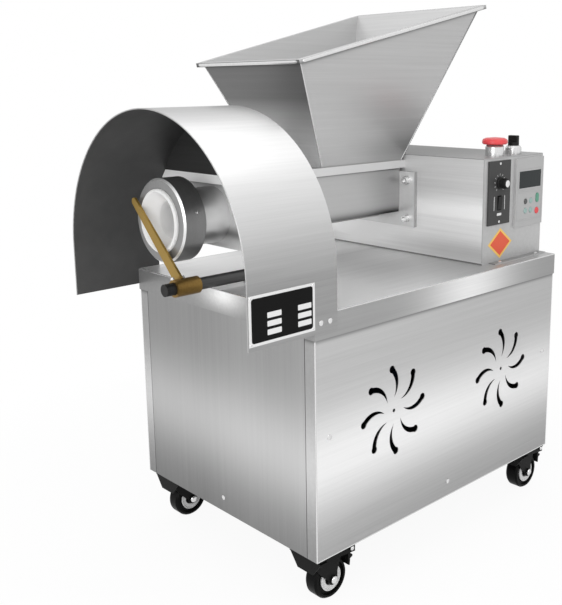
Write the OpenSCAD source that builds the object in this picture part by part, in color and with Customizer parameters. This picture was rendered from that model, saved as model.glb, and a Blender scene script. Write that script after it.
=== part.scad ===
// Screw-fed dough divider on casters: a stainless cabinet carries a hopper and
// feed screw, a drive and control box, and a brass cutter that turns under a guard.
// Frame: +Z up, floor at z = 0, nozzle and guard towards -Y, vented control side +X.

/* [Cabinet] */
// Width of the cabinet, left to right
cabinet_w = 450; // [420:1:500]
// Length of the cabinet, front to rear
cabinet_l = 612; // [580:1:680]
// Height of the side panels
panel_h = 340; // [320:1:400]
// Height of the deck's folded skirt
skirt_h = 37; // [30:1:50]
// Thickness of the stainless sheet
sheet_t = 1.5; // [1.2:0.1:2]
// Width of the side panels' fold on the front and rear faces
corner_return = 21; // [18:1:30]
// How far the panels reach up behind the skirt
skirt_lap = 10; // [5:1:20]
// Open seam between the end panels and the side panels' folds
panel_seam = 1.2; // [0.5:0.1:2]
// Thickness of the base plate
base_t = 4; // [3:0.5:6]
// Leg length of the frame's angle steel
angle_leg = 25; // [22:1:30]
// Thickness of the frame's angle steel
angle_t = 3; // [2:0.5:4]
// Head diameter of the panel screws
screw_head_d = 8; // [6:0.5:10]
// Head height of the panel screws
screw_head_h = 2.2; // [1.5:0.1:3]

/* [Vents] */
// Radius of a swirl vent
vent_r = 68; // [55:1:75]
// Radius at which the slots' tails begin
vent_tail_r = 25; // [20:1:28]
// Width of a slot's round end
vent_slot_w = 12; // [8:0.5:13]
// Diameter of the small hole in a vent's middle
vent_hole_d = 6; // [4:0.5:8]
// Turn of a vent's first slot
vent_turn = 84; // [0:1:90]
// Slots in one vent
vent_slots = 8; // [6:1:9]
// Distance of each vent from the middle of the side panel
vent_offset = 142; // [130:1:160]
// How far the pair of vents sits behind the panel's middle
vent_shift = 4; // [0:1:10]
// Height of the vents above the panel's lower edge
vent_z = 192; // [150:1:220]

/* [Casters] */
// Height of a caster, floor to base plate
caster_h = 90; // [86:1:96]
// Diameter of a caster wheel
wheel_d = 66; // [62:1:68]
// Width of a caster wheel
wheel_w = 26; // [22:1:28]
// Distance of the axle behind the swivel axis
caster_trail = 15; // [12:1:18]
// Size of the caster's top plate across the machine
caster_plate_x = 74; // [70:1:74]
// Size of the caster's top plate along the machine
caster_plate_y = 66; // [62:1:68]
// Distance of the swivel axes from the cabinet's sides
swivel_in_x = 40; // [40:1:48]
// Distance of the swivel axes from the cabinet's front and rear
swivel_in_y = 40; // [37:1:50]
// How far a fork's cheeks reach behind the axle
cheek_rear = 48; // [46:1:52]
// Radius of the wheel axle
axle_r = 4; // [3:0.5:5]

/* [Feed line] */
// Sideways place of the feed line, from the machine's middle
line_x = -66; // [-70:1:-60]
// Height of the feed line's axis above the deck
line_h = 107; // [100:1:120]
// Bore radius of the barrel and trough
bore_r = 42; // [40:1:44]
// Wall of the barrel and trough
barrel_wall = 4; // [3:0.5:5]
// Width of the feed box between its outer faces
feed_w = 144; // [138:1:150]
// Depth of the feed box's side walls below the axis
feed_drop = 29; // [26:1:34]
// Height of the hopper seat above the axis
seat_h = 67; // [62:1:74]
// Thickness of the seat's edge strip
strip_t = 14; // [10:1:16]
// How far the strip stands out from the side walls
strip_proud = 6; // [4:0.5:8]
// Distance of the feed box's front behind the cabinet's front
feed_setback = 53; // [48:1:60]
// Thickness of the feed box's rear flange
flange_t = 8; // [6:0.5:10]
// Width of the rear flange
flange_w = 216; // [210:1:220]
// Height of the rear flange
flange_h = 102; // [96:1:106]
// Distance between the flange bolts, sideways
bolt_span_x = 182; // [176:1:188]
// Distance between the flange bolts, in height
bolt_span_z = 71; // [60:1:72]
// Thread diameter of the flange bolts
bolt_d = 8; // [8:1:10]

/* [Hopper] */
// Length of the hopper's base
hopper_base_l = 201; // [190:1:204]
// Width of the hopper's base
hopper_base_w = 150; // [146:1:154]
// Gap between the hopper's base and the control box
hopper_gap = 8; // [8:1:20]
// Height of the rim's front edge above the seat
rim_front_h = 178; // [150:1:200]
// Height of the rim's rear edge above the seat
rim_rear_h = 276; // [240:1:300]
// How far the front wall leans forward
front_lean = 95; // [80:1:110]
// How far the rear wall leans back
rear_lean = 123; // [110:1:140]
// Outward slope of the side walls, sideways per height
side_slope = 0.286; // [0.2:0.002:0.29]
// Width of the rim's turned lip
lip_w = 8; // [5:1:8]
// Thickness of the rim's turned lip
lip_t = 7; // [3:0.5:8]

/* [Nozzle] */
// Distance of the collar's front face before the cabinet's front
nozzle_reach = 54; // [52:1:60]
// Outer radius of the collar nut
collar_r = 66.5; // [64:0.5:70]
// Length of the collar nut
collar_l = 42; // [40:1:46]
// Front wall of the collar nut
collar_lip = 6; // [5:0.5:8]
// Length of barrel inside the collar nut
collar_grip = 20; // [18:1:22]
// Radius of the white mouthpiece's nose
nose_r = 50; // [48:0.5:51]
// Bore radius of the white mouthpiece
mouth_r = 30; // [28:0.5:34]
// Radius of the mouthpiece's flared opening
mouth_open_r = 46; // [42:0.5:47]
// Depth of the mouthpiece's flare
mouth_deep = 24; // [18:1:30]
// How far the nose stands out of the collar
nose_proud = 5; // [4:0.5:6]
// Length of the mouthpiece's sleeve inside the barrel
sleeve_l = 50; // [45:1:60]

/* [Feed screw] */
// Radius of the screw's flight
flight_r = 40; // [38:0.5:41]
// Radius of the screw's core
core_r = 14; // [13:0.5:16]
// Pitch of the screw
screw_pitch = 64; // [56:1:80]

/* [Guard] */
// Distance of the guard's front edge before the cabinet's front
guard_reach = 119; // [110:1:130]
// Length of the guard, front to rear
guard_l = 162; // [156:1:166]
// Height of the guard arch's axis above the deck
arch_h = 56; // [50:1:70]
// How far the guard's legs lap over the deck's skirt
leg_lap = 27; // [24:1:29]
// Height of the back plate's lower edge above the deck
back_h = 172; // [165:1:180]
// Length of the rating plate
plate_l = 116; // [100:1:118]
// Height of the rating plate
plate_h = 68; // [60:1:72]
// Thickness of the rating plate
plate_t = 0.8; // [0.6:0.1:1]

/* [Cutter] */
// Height of the cutter shaft's axis above the deck
cutter_h = 14; // [13.5:0.5:16]
// Radius of the cutter shaft
cutter_shaft_r = 9.5; // [8.5:0.1:9.5]
// Radius of the brass hub
hub_r = 13.5; // [12:0.5:13.5]
// Length of the brass hub
hub_l = 43; // [38:1:46]
// Length of the shaft's end before the hub
shaft_nose = 17; // [12:1:18]
// Reach of the blade from the shaft's axis
blade_reach = 178; // [165:1:185]
// Width of the blade at its root
blade_w = 20; // [16:0.5:20]
// Width of the blade at its tip
blade_tip_w = 12; // [8:0.5:14]
// Thickness of the blade
blade_t = 4; // [3:0.5:5]
// Running gap between blade and mouthpiece
blade_gap = 1; // [0.6:0.1:2]
// Angle of the resting blade from upright, towards -X
blade_angle = 46; // [40:1:50]
// Module of the cutter's gears
gear_module = 3; // [2.8:0.1:3]
// Teeth of the gear on the cutter shaft
gear_teeth = 24; // [24:1:24]
// Teeth of the motor pinion
pinion_teeth = 18; // [18:1:18]
// Face width of the cutter's gears
gear_w = 12; // [10:1:14]

/* [Control box] */
// Width of the control box
control_w = 382; // [370:1:400]
// Length of the control box
control_l = 180; // [180:1:186]
// Height of the control box
control_h = 185; // [180:1:200]
// Width of the box's foot flange
foot_w = 14; // [12:1:16]

/* [Controls] */
// Width of the speed controller's front plate
speed_w = 64; // [60:1:68]
// Height of the speed controller's front plate
speed_h = 112; // [108:1:114]
// Radius of the speed knob
knob_r = 9; // [7:0.5:10]
// Length of the speed knob
knob_l = 16; // [14:1:26]
// Height of the rocker switch
rocker_h = 24; // [22:1:26]
// Width of the rocker switch
rocker_w = 11; // [9:0.5:13]
// Width of the inverter's face
inverter_w = 87; // [84:1:88]
// Height of the inverter's face
inverter_h = 124; // [120:1:126]
// How far the inverter's face stands out of the box
inverter_proud = 4; // [3:0.5:6]
// Width of the display window
display_w = 70; // [64:1:74]
// Height of the display window
display_h = 31; // [28:1:34]
// Radius of the round keys
key_r = 5; // [4:0.5:6]
// Travel of the keys
key_travel = 0.8; // [0.6:0.1:1]
// Diameter of the emergency stop's mushroom
mushroom_d = 45; // [38:1:48]
// Travel of the emergency stop
stop_travel = 5; // [4:0.5:6]
// Diameter of the selector's knob
selector_d = 20; // [18:1:24]
// Outer diameter of the selector's bezel
bezel_d = 29; // [27:1:32]
// Height of the selector's bezel
bezel_h = 15; // [14:1:18]
// Outer diameter of the emergency stop's bezel
stop_bezel_d = 33; // [30:1:36]
// Height of the emergency stop's bezel
stop_bezel_h = 20; // [18:0.5:22]

/* [Drives] */
// Pitch diameter of the gearbox pulley
gearbox_pulley_d = 90; // [84:1:92]
// Pitch diameter of the motor pulley
motor_pulley_d = 70; // [60:1:80]
// Width of the drive belt
belt_w = 13; // [10:1:14]
// Diameter of the main motor's body
motor_d = 140; // [120:1:150]
// Length of the main motor's body
motor_l = 190; // [170:1:195]

/* [Fits] */
// Radial clearance of shafts in their bores
run_gap = 0.05; // [0.02:0.01:0.1]
// Clearance between pieces that move past each other
move_gap = 0.4; // [0.3:0.05:0.6]
// Clearance between pieces that are fixed together
fit_gap = 0.2; // [0.1:0.05:0.3]

/* [Hidden] */
$fn = 48;
eps = 1;
half_w = cabinet_w / 2;
panel_x = half_w - sheet_t;
swivel_x = half_w - swivel_in_x;
swivel_y = cabinet_l / 2 - swivel_in_y;
base_z = caster_h;
panel_top = base_z + panel_h;
deck_z = panel_top + skirt_h;
deck_under = deck_z - sheet_t;
rear_proud = max(screw_head_h, swivel_y + caster_trail + cheek_rear - cabinet_l / 2);
y0 = (guard_reach - rear_proud) / 2;
front_y = y0 - cabinet_l / 2;
rear_y = y0 + cabinet_l / 2;
panel_front = front_y + sheet_t;
panel_rear = rear_y - sheet_t;
lap_top = panel_top + skirt_lap;
frame_z = base_z + base_t;

// Control box and its drive
control_front = rear_y - control_l;
control_half = control_w / 2;
control_top = deck_z + control_h;
control_mid_y = (control_front + rear_y) / 2;

// Feed line
line_z = deck_z + line_h;
trough_r = bore_r + barrel_wall;
feed_front = front_y + feed_setback;
feed_rear = control_front - flange_t;
seat_z = line_z + seat_h;
strip_half = feed_w / 2 + strip_proud;
hopper_rear = control_front - hopper_gap;
hopper_front = hopper_rear - hopper_base_l;
throat_inset = 5;
throat_half = hopper_base_w / 2 - 8;
front_plate_t = 6;

// Nozzle
collar_front = front_y - nozzle_reach;
collar_rear = collar_front + collar_l;
barrel_front = collar_rear - collar_grip;
die_flange_r = nose_r + 6;
sleeve_rear = barrel_front + sleeve_l;
nose_front = collar_front - nose_proud;

// Feed screw and its drive shaft
screw_front = sleeve_rear + 4;
screw_rear = feed_rear - 4;
gearbox_front = control_front + 16;
gearbox_l = 100;
gearbox_half = 55;
worm_drop = 50;
worm_z = line_z - worm_drop;
worm_y = gearbox_front + gearbox_l / 2;
worm_shaft_r = 8;
belt_x = line_x + gearbox_half + 22;
pulley_w = belt_w + 6;
pulley_lip = 4;
belt_t = 6;
motor_z = base_z + 105;
motor_shaft_r = 9;
motor_right = belt_x - pulley_w / 2 - 6;

// Guard
guard_front = front_y - guard_reach;
guard_rear = guard_front + guard_l;
arch_z = deck_z + arch_h;
guard_r = half_w;
leg_z = deck_z - leg_lap;
back_z = deck_z + back_h;

// Cutter
cutter_z = deck_z + cutter_h;
blade_rear = nose_front - blade_gap;
blade_mid = blade_rear - blade_t / 2;
hub_front = blade_mid - 16;
hub_rear = hub_front + hub_l;
blade_root = cutter_shaft_r + fit_gap;
cutter_front = hub_front - shaft_nose;
screw_seat_r = hub_r - 0.7;
gear_y = front_y + 122;
gear_pitch_r = gear_module * gear_teeth / 2;
pinion_pitch_r = gear_module * pinion_teeth / 2;
pinion_z = cutter_z - gear_pitch_r - pinion_pitch_r;
pillow_l = 24;
pillow_gap = 14;
pillow_front = gear_y - gear_w / 2 - pillow_gap - pillow_l;
pillow_rear = gear_y + gear_w / 2 + pillow_gap;
cutter_rear = pillow_rear + pillow_l + 4;
pinion_shaft_r = 6;

// Controls on the right wall of the control box
wall_x = control_half;
speed_y = control_front + 10.5 + speed_w / 2;
speed_z = deck_z + 124;
knob_z = speed_z + 17;
rocker_z = speed_z - 18;
speed_body_half = speed_w / 2 - 6;
speed_low = speed_z - speed_h / 2 + 10;
speed_face = wall_x + 2 * sheet_t;
rocker_deep = 8;
knob_shaft_r = 3;
inverter_y = rear_y - 2 - inverter_w / 2;
inverter_z = deck_z + 118;
face_x = wall_x + inverter_proud;
display_z = inverter_z + 23;
key_deep = 3;
small_key_y = [inverter_y - 12, inverter_y + 5];
small_key_z = [inverter_z - 17, inverter_z - 34];
tall_key_y = inverter_y + 25;
tall_key_z = inverter_z - 13;
round_key_z = inverter_z - 37;
inverter_body_half = inverter_w / 2 - 4;
inverter_low = inverter_z - inverter_h / 2 + 8;
window_t = 1.5;
key_hole_deep = key_deep + 2;
tall_key_w = 9;
tall_key_h = 17;
key_back = face_x - key_deep - (key_hole_deep - key_deep - key_travel) / 2;
key_front = face_x + 1.2;
panel_body_top = control_top - 27;
stop_xy = [control_half - 31, control_front + 72];
selector_xy = [control_half - 31, control_front + 130];
stem_r = 5;
bezel_top = control_top + bezel_h;
stop_top = control_top + stop_bezel_h;
bezel_thread_r = 11;
bezel_deep = 24;

// Casters
caster_places = [[-1, -1], [1, -1], [-1, 1], [1, 1]];
plate_bottom = base_z - 3;
race_t = 5;
race_r = 24;
race_bottom = plate_bottom - race_t;
fork_t = 2.5;
fork_top = race_bottom - move_gap;
fork_half = wheel_w / 2 + 1.5;
king_r = 6;
wheel_r = wheel_d / 2;
brake_y = caster_trail + cheek_rear - 9;
brake_z = fork_top - 11;
apron_y = -28;
apron_half = caster_plate_x / 2 - 2;
brake_pin_r = 2.5;

// Building helpers
module block(x1, x2, y1, y2, z1, z2) {
  translate([x1, y1, z1]) cube([x2 - x1, y2 - y1, z2 - z1]);
}

module rod_x(y, z, x1, x2, r) {
  translate([x1, y, z]) rotate([0, 90, 0]) cylinder(r = r, h = x2 - x1);
}

module rod_y(x, z, y1, y2, r) {
  translate([x, y1, z]) rotate([-90, 0, 0]) cylinder(r = r, h = y2 - y1);
}

module rod_z(x, y, z1, z2, r) {
  translate([x, y, z1]) cylinder(r = r, h = z2 - z1);
}

module extrude_x(x1, x2) {
  translate([x1, 0, 0]) rotate([90, 0, 90]) linear_extrude(x2 - x1) children();
}

module extrude_y(y1, y2) {
  translate([0, y2, 0]) rotate([90, 0, 0]) linear_extrude(y2 - y1) children();
}

// Revolves a profile given as radius and length about an axis along +Y
module turn_y(x, y, z) {
  translate([x, y, z]) rotate([-90, 0, 0]) rotate_extrude() children();
}

module turn_x(x, y, z) {
  translate([x, y, z]) rotate([0, 90, 0]) rotate_extrude() children();
}

// Cabinet
module frame_post(sx, sy) {
  x = half_w - 2 * sheet_t;
  y = cabinet_l / 2 - 2 * sheet_t;
  translate([0, y0, 0]) scale_signs(sx, sy) difference() {
    block(x - angle_leg, x, y - angle_leg, y, frame_z, deck_under);
    block(x - angle_leg - eps, x - angle_t, y - angle_leg - eps, y - angle_t,
          frame_z - eps, deck_under + eps);
  }
}

module scale_signs(sx, sy) {
  mirror([sx < 0 ? 1 : 0, 0, 0]) mirror([0, sy < 0 ? 1 : 0, 0]) children();
}

// A rectangle of angle steel: an upright leg outside and a flat leg at the top or bottom
module frame_ring(z, flat_z) {
  x = half_w - 2 * sheet_t;
  y = cabinet_l / 2 - 2 * sheet_t;
  translate([0, y0, 0]) {
    difference() {
      block(-x, x, -y, y, z, z + angle_leg);
      block(-x + angle_t, x - angle_t, -y + angle_t, y - angle_t, z - eps, z + angle_leg + eps);
    }
    difference() {
      block(-x, x, -y, y, flat_z, flat_z + angle_t);
      block(-x + angle_leg, x - angle_leg, -y + angle_leg, y - angle_leg,
            flat_z - eps, flat_z + angle_t + eps);
    }
  }
}

module frame() color("dimgray") {
  union() {
    for (p = caster_places) frame_post(p[0], p[1]);
    frame_ring(frame_z, frame_z);
    frame_ring(deck_under - angle_leg, deck_under - angle_t);
  }
}

module base_plate() color("gray") difference() {
  block(-panel_x + sheet_t, panel_x - sheet_t, panel_front + sheet_t, panel_rear - sheet_t, base_z, frame_z);
  for (p = caster_places) {
    rod_z(p[0] * swivel_x, y0 + p[1] * swivel_y, base_z - eps, frame_z + eps, 10);
  }
}

// One swirl slot: a curved drop, thin at its tail and round at its outer end
module vent_slot() {
  sweep = 78;
  arc_r = (vent_r - vent_tail_r) * 0.81;
  centre = [vent_tail_r + 0.39 * arc_r, 0.92 * arc_r];
  end_angle = -35;
  spread = (0.39 * vent_slot_w - 0.6) / (1 - cos(sweep));
  inset = spread * cos(sweep) - 0.6;
  ahead = [cos(end_angle), sin(end_angle)];
  difference() {
    translate(centre + spread * ahead) circle(r = arc_r - inset);
    translate(centre - spread * ahead) circle(r = arc_r + inset);
    translate(centre) rotate(end_angle) square(2 * arc_r);
    translate(centre) rotate(end_angle) translate([-2 * arc_r, 0]) square(2 * arc_r);
  }
  translate(centre + arc_r * ahead) circle(d = vent_slot_w);
}

module vent(x1, x2, y) {
  for (i = [0 : vent_slots - 1]) {
    translate([0, y, base_z + vent_z]) rotate([vent_turn + i * 360 / vent_slots, 0, 0])
      extrude_x(x1, x2) vent_slot();
  }
  rod_x(y, base_z + vent_z, x1, x2, vent_hole_d / 2);
}

// A side panel with its folds on the front and rear faces; side is -1 or 1
module side_panel(side) {
  difference() {
    mirror([side < 0 ? 1 : 0, 0, 0]) difference() {
      block(panel_x - corner_return, panel_x, panel_front, panel_rear, base_z, lap_top);
      block(panel_x - corner_return - eps, panel_x - sheet_t, panel_front + sheet_t, panel_rear - sheet_t,
            base_z - eps, lap_top + eps);
    }
    for (s = [-1, 1]) {
      x = side * (panel_x - sheet_t / 2);
      vent(x - sheet_t, x + sheet_t, y0 + vent_shift + s * vent_offset);
    }
  }
}

module left_panel() color("silver") side_panel(-1);

module right_panel() color("silver") side_panel(1);

module end_panel(y1) {
  inner = panel_x - corner_return - panel_seam;
  block(-inner, inner, y1, y1 + sheet_t, base_z, lap_top);
}

module front_panel() color("silver") end_panel(panel_front);

module rear_panel() color("silver") end_panel(panel_rear - sheet_t);

module top_deck() color("gainsboro") difference() {
  block(-half_w, half_w, front_y, rear_y, panel_top, deck_z);
  block(-panel_x, panel_x, panel_front, panel_rear, panel_top - eps, deck_under);
  gear_slot = gear_pitch_r + gear_module + 2;
  block(-gear_slot, gear_slot, gear_y - gear_w / 2 - 3, gear_y + gear_w / 2 + 3,
        deck_under - eps, deck_z + eps);
  belt_slot = gearbox_pulley_d / 2 + belt_t + 6;
  block(belt_x - pulley_w / 2 - 3, belt_x + pulley_w / 2 + 3, worm_y - belt_slot, worm_y + belt_slot,
        deck_under - eps, deck_z + eps);
}

// A domed screw head standing along +Z on the origin
module screw_head() {
  rotate_extrude() intersection() {
    translate([0, screw_head_h - screw_head_d]) circle(r = screw_head_d);
    square([screw_head_d / 2, screw_head_h]);
  }
}

module side_screws(side) {
  edge = cabinet_l / 2 - 28;
  for (p = [[-edge, 190], [0, 27], [edge, 195]]) {
    translate([side * panel_x, y0 + p[0], base_z + p[1]]) rotate([0, side * 90, 0]) screw_head();
  }
  guard_x = side * (half_w + sheet_t);
  for (y = [front_y + 10.5, front_y + 28]) {
    translate([guard_x, y, deck_z - 12]) rotate([0, side * 90, 0]) screw_head();
  }
  for (y = [control_front + 43, rear_y - 24]) {
    translate([side * (control_half + foot_w / 2), y, deck_z + sheet_t]) screw_head();
  }
}

module pan_screws() color("white") {
  side_screws(-1);
  side_screws(1);
  translate([0, panel_front, base_z + 25]) rotate([90, 0, 0]) screw_head();
  for (x = [-1, 1], z = [25, panel_h - 25]) {
    translate([x * (half_w - 60), panel_rear, base_z + z]) rotate([-90, 0, 0]) screw_head();
  }
  for (z = [speed_h / 2 - 5, 5 - speed_h / 2]) {
    translate([wall_x + sheet_t * 2, speed_y, speed_z + z]) rotate([0, 90, 0]) scale(0.6) screw_head();
  }
}

// Guard
module arch(r, low) {
  difference() {
    circle(r = r, $fn = 96);
    translate([-2 * r, -4 * r]) square(4 * r);
  }
  translate([-r, low]) square([2 * r, -low]);
}

module guard() color("silver") difference() {
  extrude_y(guard_front, guard_rear) translate([0, arch_z]) arch(guard_r + sheet_t, leg_z - arch_z);
  extrude_y(guard_front - eps, guard_rear + eps) translate([0, arch_z]) arch(guard_r, leg_z - arch_z - eps);
}

module guard_back() color("dimgray") {
  r = guard_r - fit_gap;
  low = back_z - arch_z;
  half = sqrt(r * r - low * low) - 2;
  lip_drop = 13;
  lip_out = 7;
  extrude_y(guard_rear - sheet_t, guard_rear) translate([0, arch_z]) difference() {
    circle(r = r, $fn = 96);
    translate([-2 * r, low - 4 * r]) square(4 * r);
  }
  extrude_x(-half, half) polygon([
    [guard_rear, back_z], [guard_rear - sheet_t, back_z],
    [guard_rear - sheet_t - lip_out, back_z - lip_drop], [guard_rear - lip_out, back_z - lip_drop]
  ]);
}

module rating_plate() color("black") {
  x = half_w + sheet_t;
  block(x, x + plate_t, guard_front + 2, guard_front + 2 + plate_l, deck_z - 20, deck_z - 20 + plate_h);
}

// Control box
module control_box() color("silver") difference() {
  union() {
    block(-control_half, control_half, control_front, rear_y, deck_z, control_top);
    block(-control_half - foot_w, control_half + foot_w, control_front + control_l / 9, rear_y,
          deck_z, deck_z + sheet_t);
  }
  block(-control_half + sheet_t, control_half - sheet_t, control_front + sheet_t, rear_y - sheet_t,
        deck_z - eps, control_top - sheet_t);
  rod_y(line_x, line_z, control_front - eps, control_front + sheet_t + eps, core_r + 8);
  for (x = [-1, 1], z = [-1, 1]) {
    rod_y(line_x + x * bolt_span_x / 2, line_z + z * bolt_span_z / 2 - 4.5,
          control_front - eps, control_front + sheet_t + eps, bolt_d / 2 + fit_gap);
  }
  block(wall_x - sheet_t - eps, wall_x + eps, speed_y - speed_body_half - fit_gap,
        speed_y + speed_body_half + fit_gap, speed_low - fit_gap, panel_body_top + fit_gap);
  block(wall_x - sheet_t - eps, wall_x + eps, inverter_y - inverter_body_half - fit_gap,
        inverter_y + inverter_body_half + fit_gap, inverter_low - fit_gap, panel_body_top + fit_gap);
  for (p = [stop_xy, selector_xy]) {
    rod_z(p[0], p[1], control_top - sheet_t - eps, control_top + eps, bezel_thread_r + fit_gap);
  }
}

// Feed box: side walls and seat over a round trough
module trough_outline(wall) {
  circle(r = bore_r + wall);
  polygon([
    [-bore_r - wall, 0], [bore_r + wall, 0], [throat_half + wall, seat_h], [-throat_half - wall, seat_h]
  ]);
}

module feed_box() color("lightgray") difference() {
  union() {
    extrude_y(feed_front, feed_rear) translate([line_x, line_z]) {
      translate([-feed_w / 2, -feed_drop]) square([feed_w, feed_drop + seat_h]);
      translate([-strip_half, seat_h - strip_t]) square([2 * strip_half, strip_t]);
      circle(r = trough_r);
    }
    block(line_x - flange_w / 2, line_x + flange_w / 2, feed_rear, control_front,
          line_z - flange_h / 2 - 4.5, line_z + flange_h / 2 - 4.5);
    block(line_x - strip_half, line_x + strip_half, feed_rear - eps, control_front, seat_z - strip_t, seat_z);
  }
  rod_y(line_x, line_z, feed_front - eps, feed_rear, bore_r);
  rod_y(line_x, line_z, feed_rear - eps, control_front + eps, core_r + move_gap);
  translate([line_x, 0, line_z]) extrude_y(hopper_front + throat_inset, hopper_rear - throat_inset)
    polygon([[-bore_r, 0], [bore_r, 0], [throat_half, seat_h + eps], [-throat_half, seat_h + eps]]);
  pocket_half = feed_w / 2 - barrel_wall;
  pocket_rear = hopper_front - barrel_wall;
  translate([line_x, 0, line_z]) extrude_y(feed_front + barrel_wall, pocket_rear) difference() {
    translate([-pocket_half, -2 * bore_r])
      square([2 * pocket_half, 2 * bore_r + seat_h - strip_t - barrel_wall]);
    circle(r = trough_r);
  }
  translate([line_x, 0, line_z]) extrude_y(hopper_front, hopper_rear) difference() {
    translate([-pocket_half, -2 * bore_r]) square([2 * pocket_half, 2 * bore_r + seat_h / 2]);
    trough_outline(barrel_wall);
  }
  for (x = [-1, 1], z = [-1, 1]) {
    rod_y(line_x + x * bolt_span_x / 2, line_z + z * bolt_span_z / 2 - 4.5,
          feed_rear - eps, control_front + eps, bolt_d / 2 + fit_gap);
  }
}

// A socket-head bolt with its washer, head towards -Y
module feed_bolt(x, z) {
  head_l = bolt_d;
  washer_t = 2;
  difference() {
    union() {
      rod_y(x, z, feed_rear - washer_t - head_l, feed_rear - washer_t, 0.8 * bolt_d);
      rod_y(x, z, feed_rear - washer_t, feed_rear, bolt_d);
      rod_y(x, z, feed_rear - eps, control_front + 10, bolt_d / 2);
    }
    translate([x, feed_rear - washer_t - head_l - eps, z]) rotate([-90, 0, 0])
      cylinder(d = bolt_d, h = head_l / 2 + eps, $fn = 6);
  }
}

module feed_bolts() color("gray") {
  for (x = [-1, 1], z = [-1, 1]) {
    feed_bolt(line_x + x * bolt_span_x / 2, line_z + z * bolt_span_z / 2 - 4.5);
  }
}

// Hopper: a four-sided funnel, cut off by a rim plane that rises to the rear
module hopper_solid(inset, cut) {
  high = 1.15 * rim_rear_h;
  front_rate = front_lean / rim_front_h;
  rear_rate = rear_lean / rim_rear_h;
  half = hopper_base_w / 2 - inset;
  low = -cut;
  intersection() {
    extrude_x(line_x - cabinet_w, line_x + cabinet_w) translate([0, seat_z]) polygon(cut > 0 ? [
      [hopper_front + inset - front_rate * low, low], [hopper_rear - inset + rear_rate * low, low],
      [hopper_rear - inset + rear_rate * high, high], [hopper_front + inset - front_rate * high, high]
    ] : [
      [hopper_front, 0], [hopper_rear, 0], [hopper_rear + rear_lean, rim_rear_h],
      [hopper_front - front_lean, rim_front_h]
    ]);
    extrude_y(hopper_front - cabinet_l, hopper_rear + cabinet_l) translate([line_x, seat_z]) polygon([
      [-half - side_slope * low, low], [half + side_slope * low, low],
      [half + side_slope * high, high], [-half - side_slope * high, high]
    ]);
  }
}

// The rim's outline in its own plane, widened by grow on all sides
module rim_outline(grow) {
  run = hopper_base_l + front_lean + rear_lean;
  slant = norm([run, rim_rear_h - rim_front_h]);
  front_half = hopper_base_w / 2 + side_slope * rim_front_h + grow;
  rear_half = hopper_base_w / 2 + side_slope * rim_rear_h + grow;
  polygon([[-front_half, -grow], [front_half, -grow], [rear_half, slant + grow], [-rear_half, slant + grow]]);
}

module hopper() color("silver") {
  run = hopper_base_l + front_lean + rear_lean;
  tilt = atan2(rim_rear_h - rim_front_h, run);
  difference() {
    union() {
      hopper_solid(0, 0);
      translate([line_x, hopper_front - front_lean, seat_z + rim_front_h]) rotate([tilt, 0, 0])
        translate([0, 0, -lip_t]) linear_extrude(lip_t) rim_outline(lip_w);
    }
    hopper_solid(sheet_t, eps);
  }
}

// Barrel, collar nut and mouthpiece
module barrel() color("lightgray") difference() {
  union() {
    rod_y(line_x, line_z, barrel_front, feed_front, trough_r);
    block(line_x - strip_half, line_x + strip_half, feed_front - front_plate_t, feed_front,
          line_z - feed_drop - 23, line_z + seat_h - 2);
  }
  rod_y(line_x, line_z, barrel_front - eps, feed_front + eps, bore_r);
}

module collar_nut() color("gray") difference() {
  chamfer = 3;
  turn_y(line_x, collar_front, line_z) polygon([
    [nose_r + fit_gap, 0], [collar_r - chamfer, 0], [collar_r, chamfer], [collar_r, collar_l - chamfer],
    [collar_r - chamfer, collar_l], [trough_r + fit_gap, collar_l],
    [trough_r + fit_gap, collar_l - collar_grip],
    [die_flange_r + fit_gap, collar_l - collar_grip], [die_flange_r + fit_gap, collar_lip],
    [nose_r + fit_gap, collar_lip]
  ]);
  for (a = [0 : 90 : 270]) {
    translate([line_x, collar_front + collar_l / 2 + 4, line_z]) rotate([0, a - 15, 0])
      translate([0, 0, collar_r - 5]) cylinder(r = 3, h = 10);
  }
}

module mouthpiece() color("white") {
  flange_deep = collar_l - collar_grip - fit_gap;
  rear = nose_proud + collar_l - collar_grip + sleeve_l;
  sleeve_r = bore_r - fit_gap;
  turn_y(line_x, nose_front, line_z) polygon([
    [mouth_open_r, 0], [nose_r - 2, 0], [nose_r, 2], [nose_r, nose_proud + collar_lip + fit_gap],
    [die_flange_r, nose_proud + collar_lip + fit_gap], [die_flange_r, nose_proud + flange_deep],
    [sleeve_r, nose_proud + flange_deep], [sleeve_r, rear], [mouth_r, rear], [mouth_r, mouth_deep]
  ]);
}

// Feed screw: a core with one flight, wound by twisting its cross-section
module screw_section() {
  flight_half = 13;
  circle(r = core_r, $fn = 24);
  polygon(concat(
    [[0, 0]],
    [for (a = [-flight_half : flight_half / 2 : flight_half]) flight_r * [cos(a), sin(a)]]
  ));
}

module feed_screw() color("silver") {
  length = screw_rear - screw_front;
  turns = length / screw_pitch;
  translate([line_x, screw_front, line_z]) rotate([-90, 0, 0])
    linear_extrude(height = length, twist = -360 * turns, slices = ceil(turns * 14), $fn = 24)
      screw_section();
}

module drive_shaft() color("gray") {
  union() {
    rod_y(line_x, line_z, screw_rear, gearbox_front + gearbox_l - 10, core_r);
    rod_y(line_x, line_z, control_front + sheet_t + 1, gearbox_front - 1, core_r + 6);
  }
}

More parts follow.
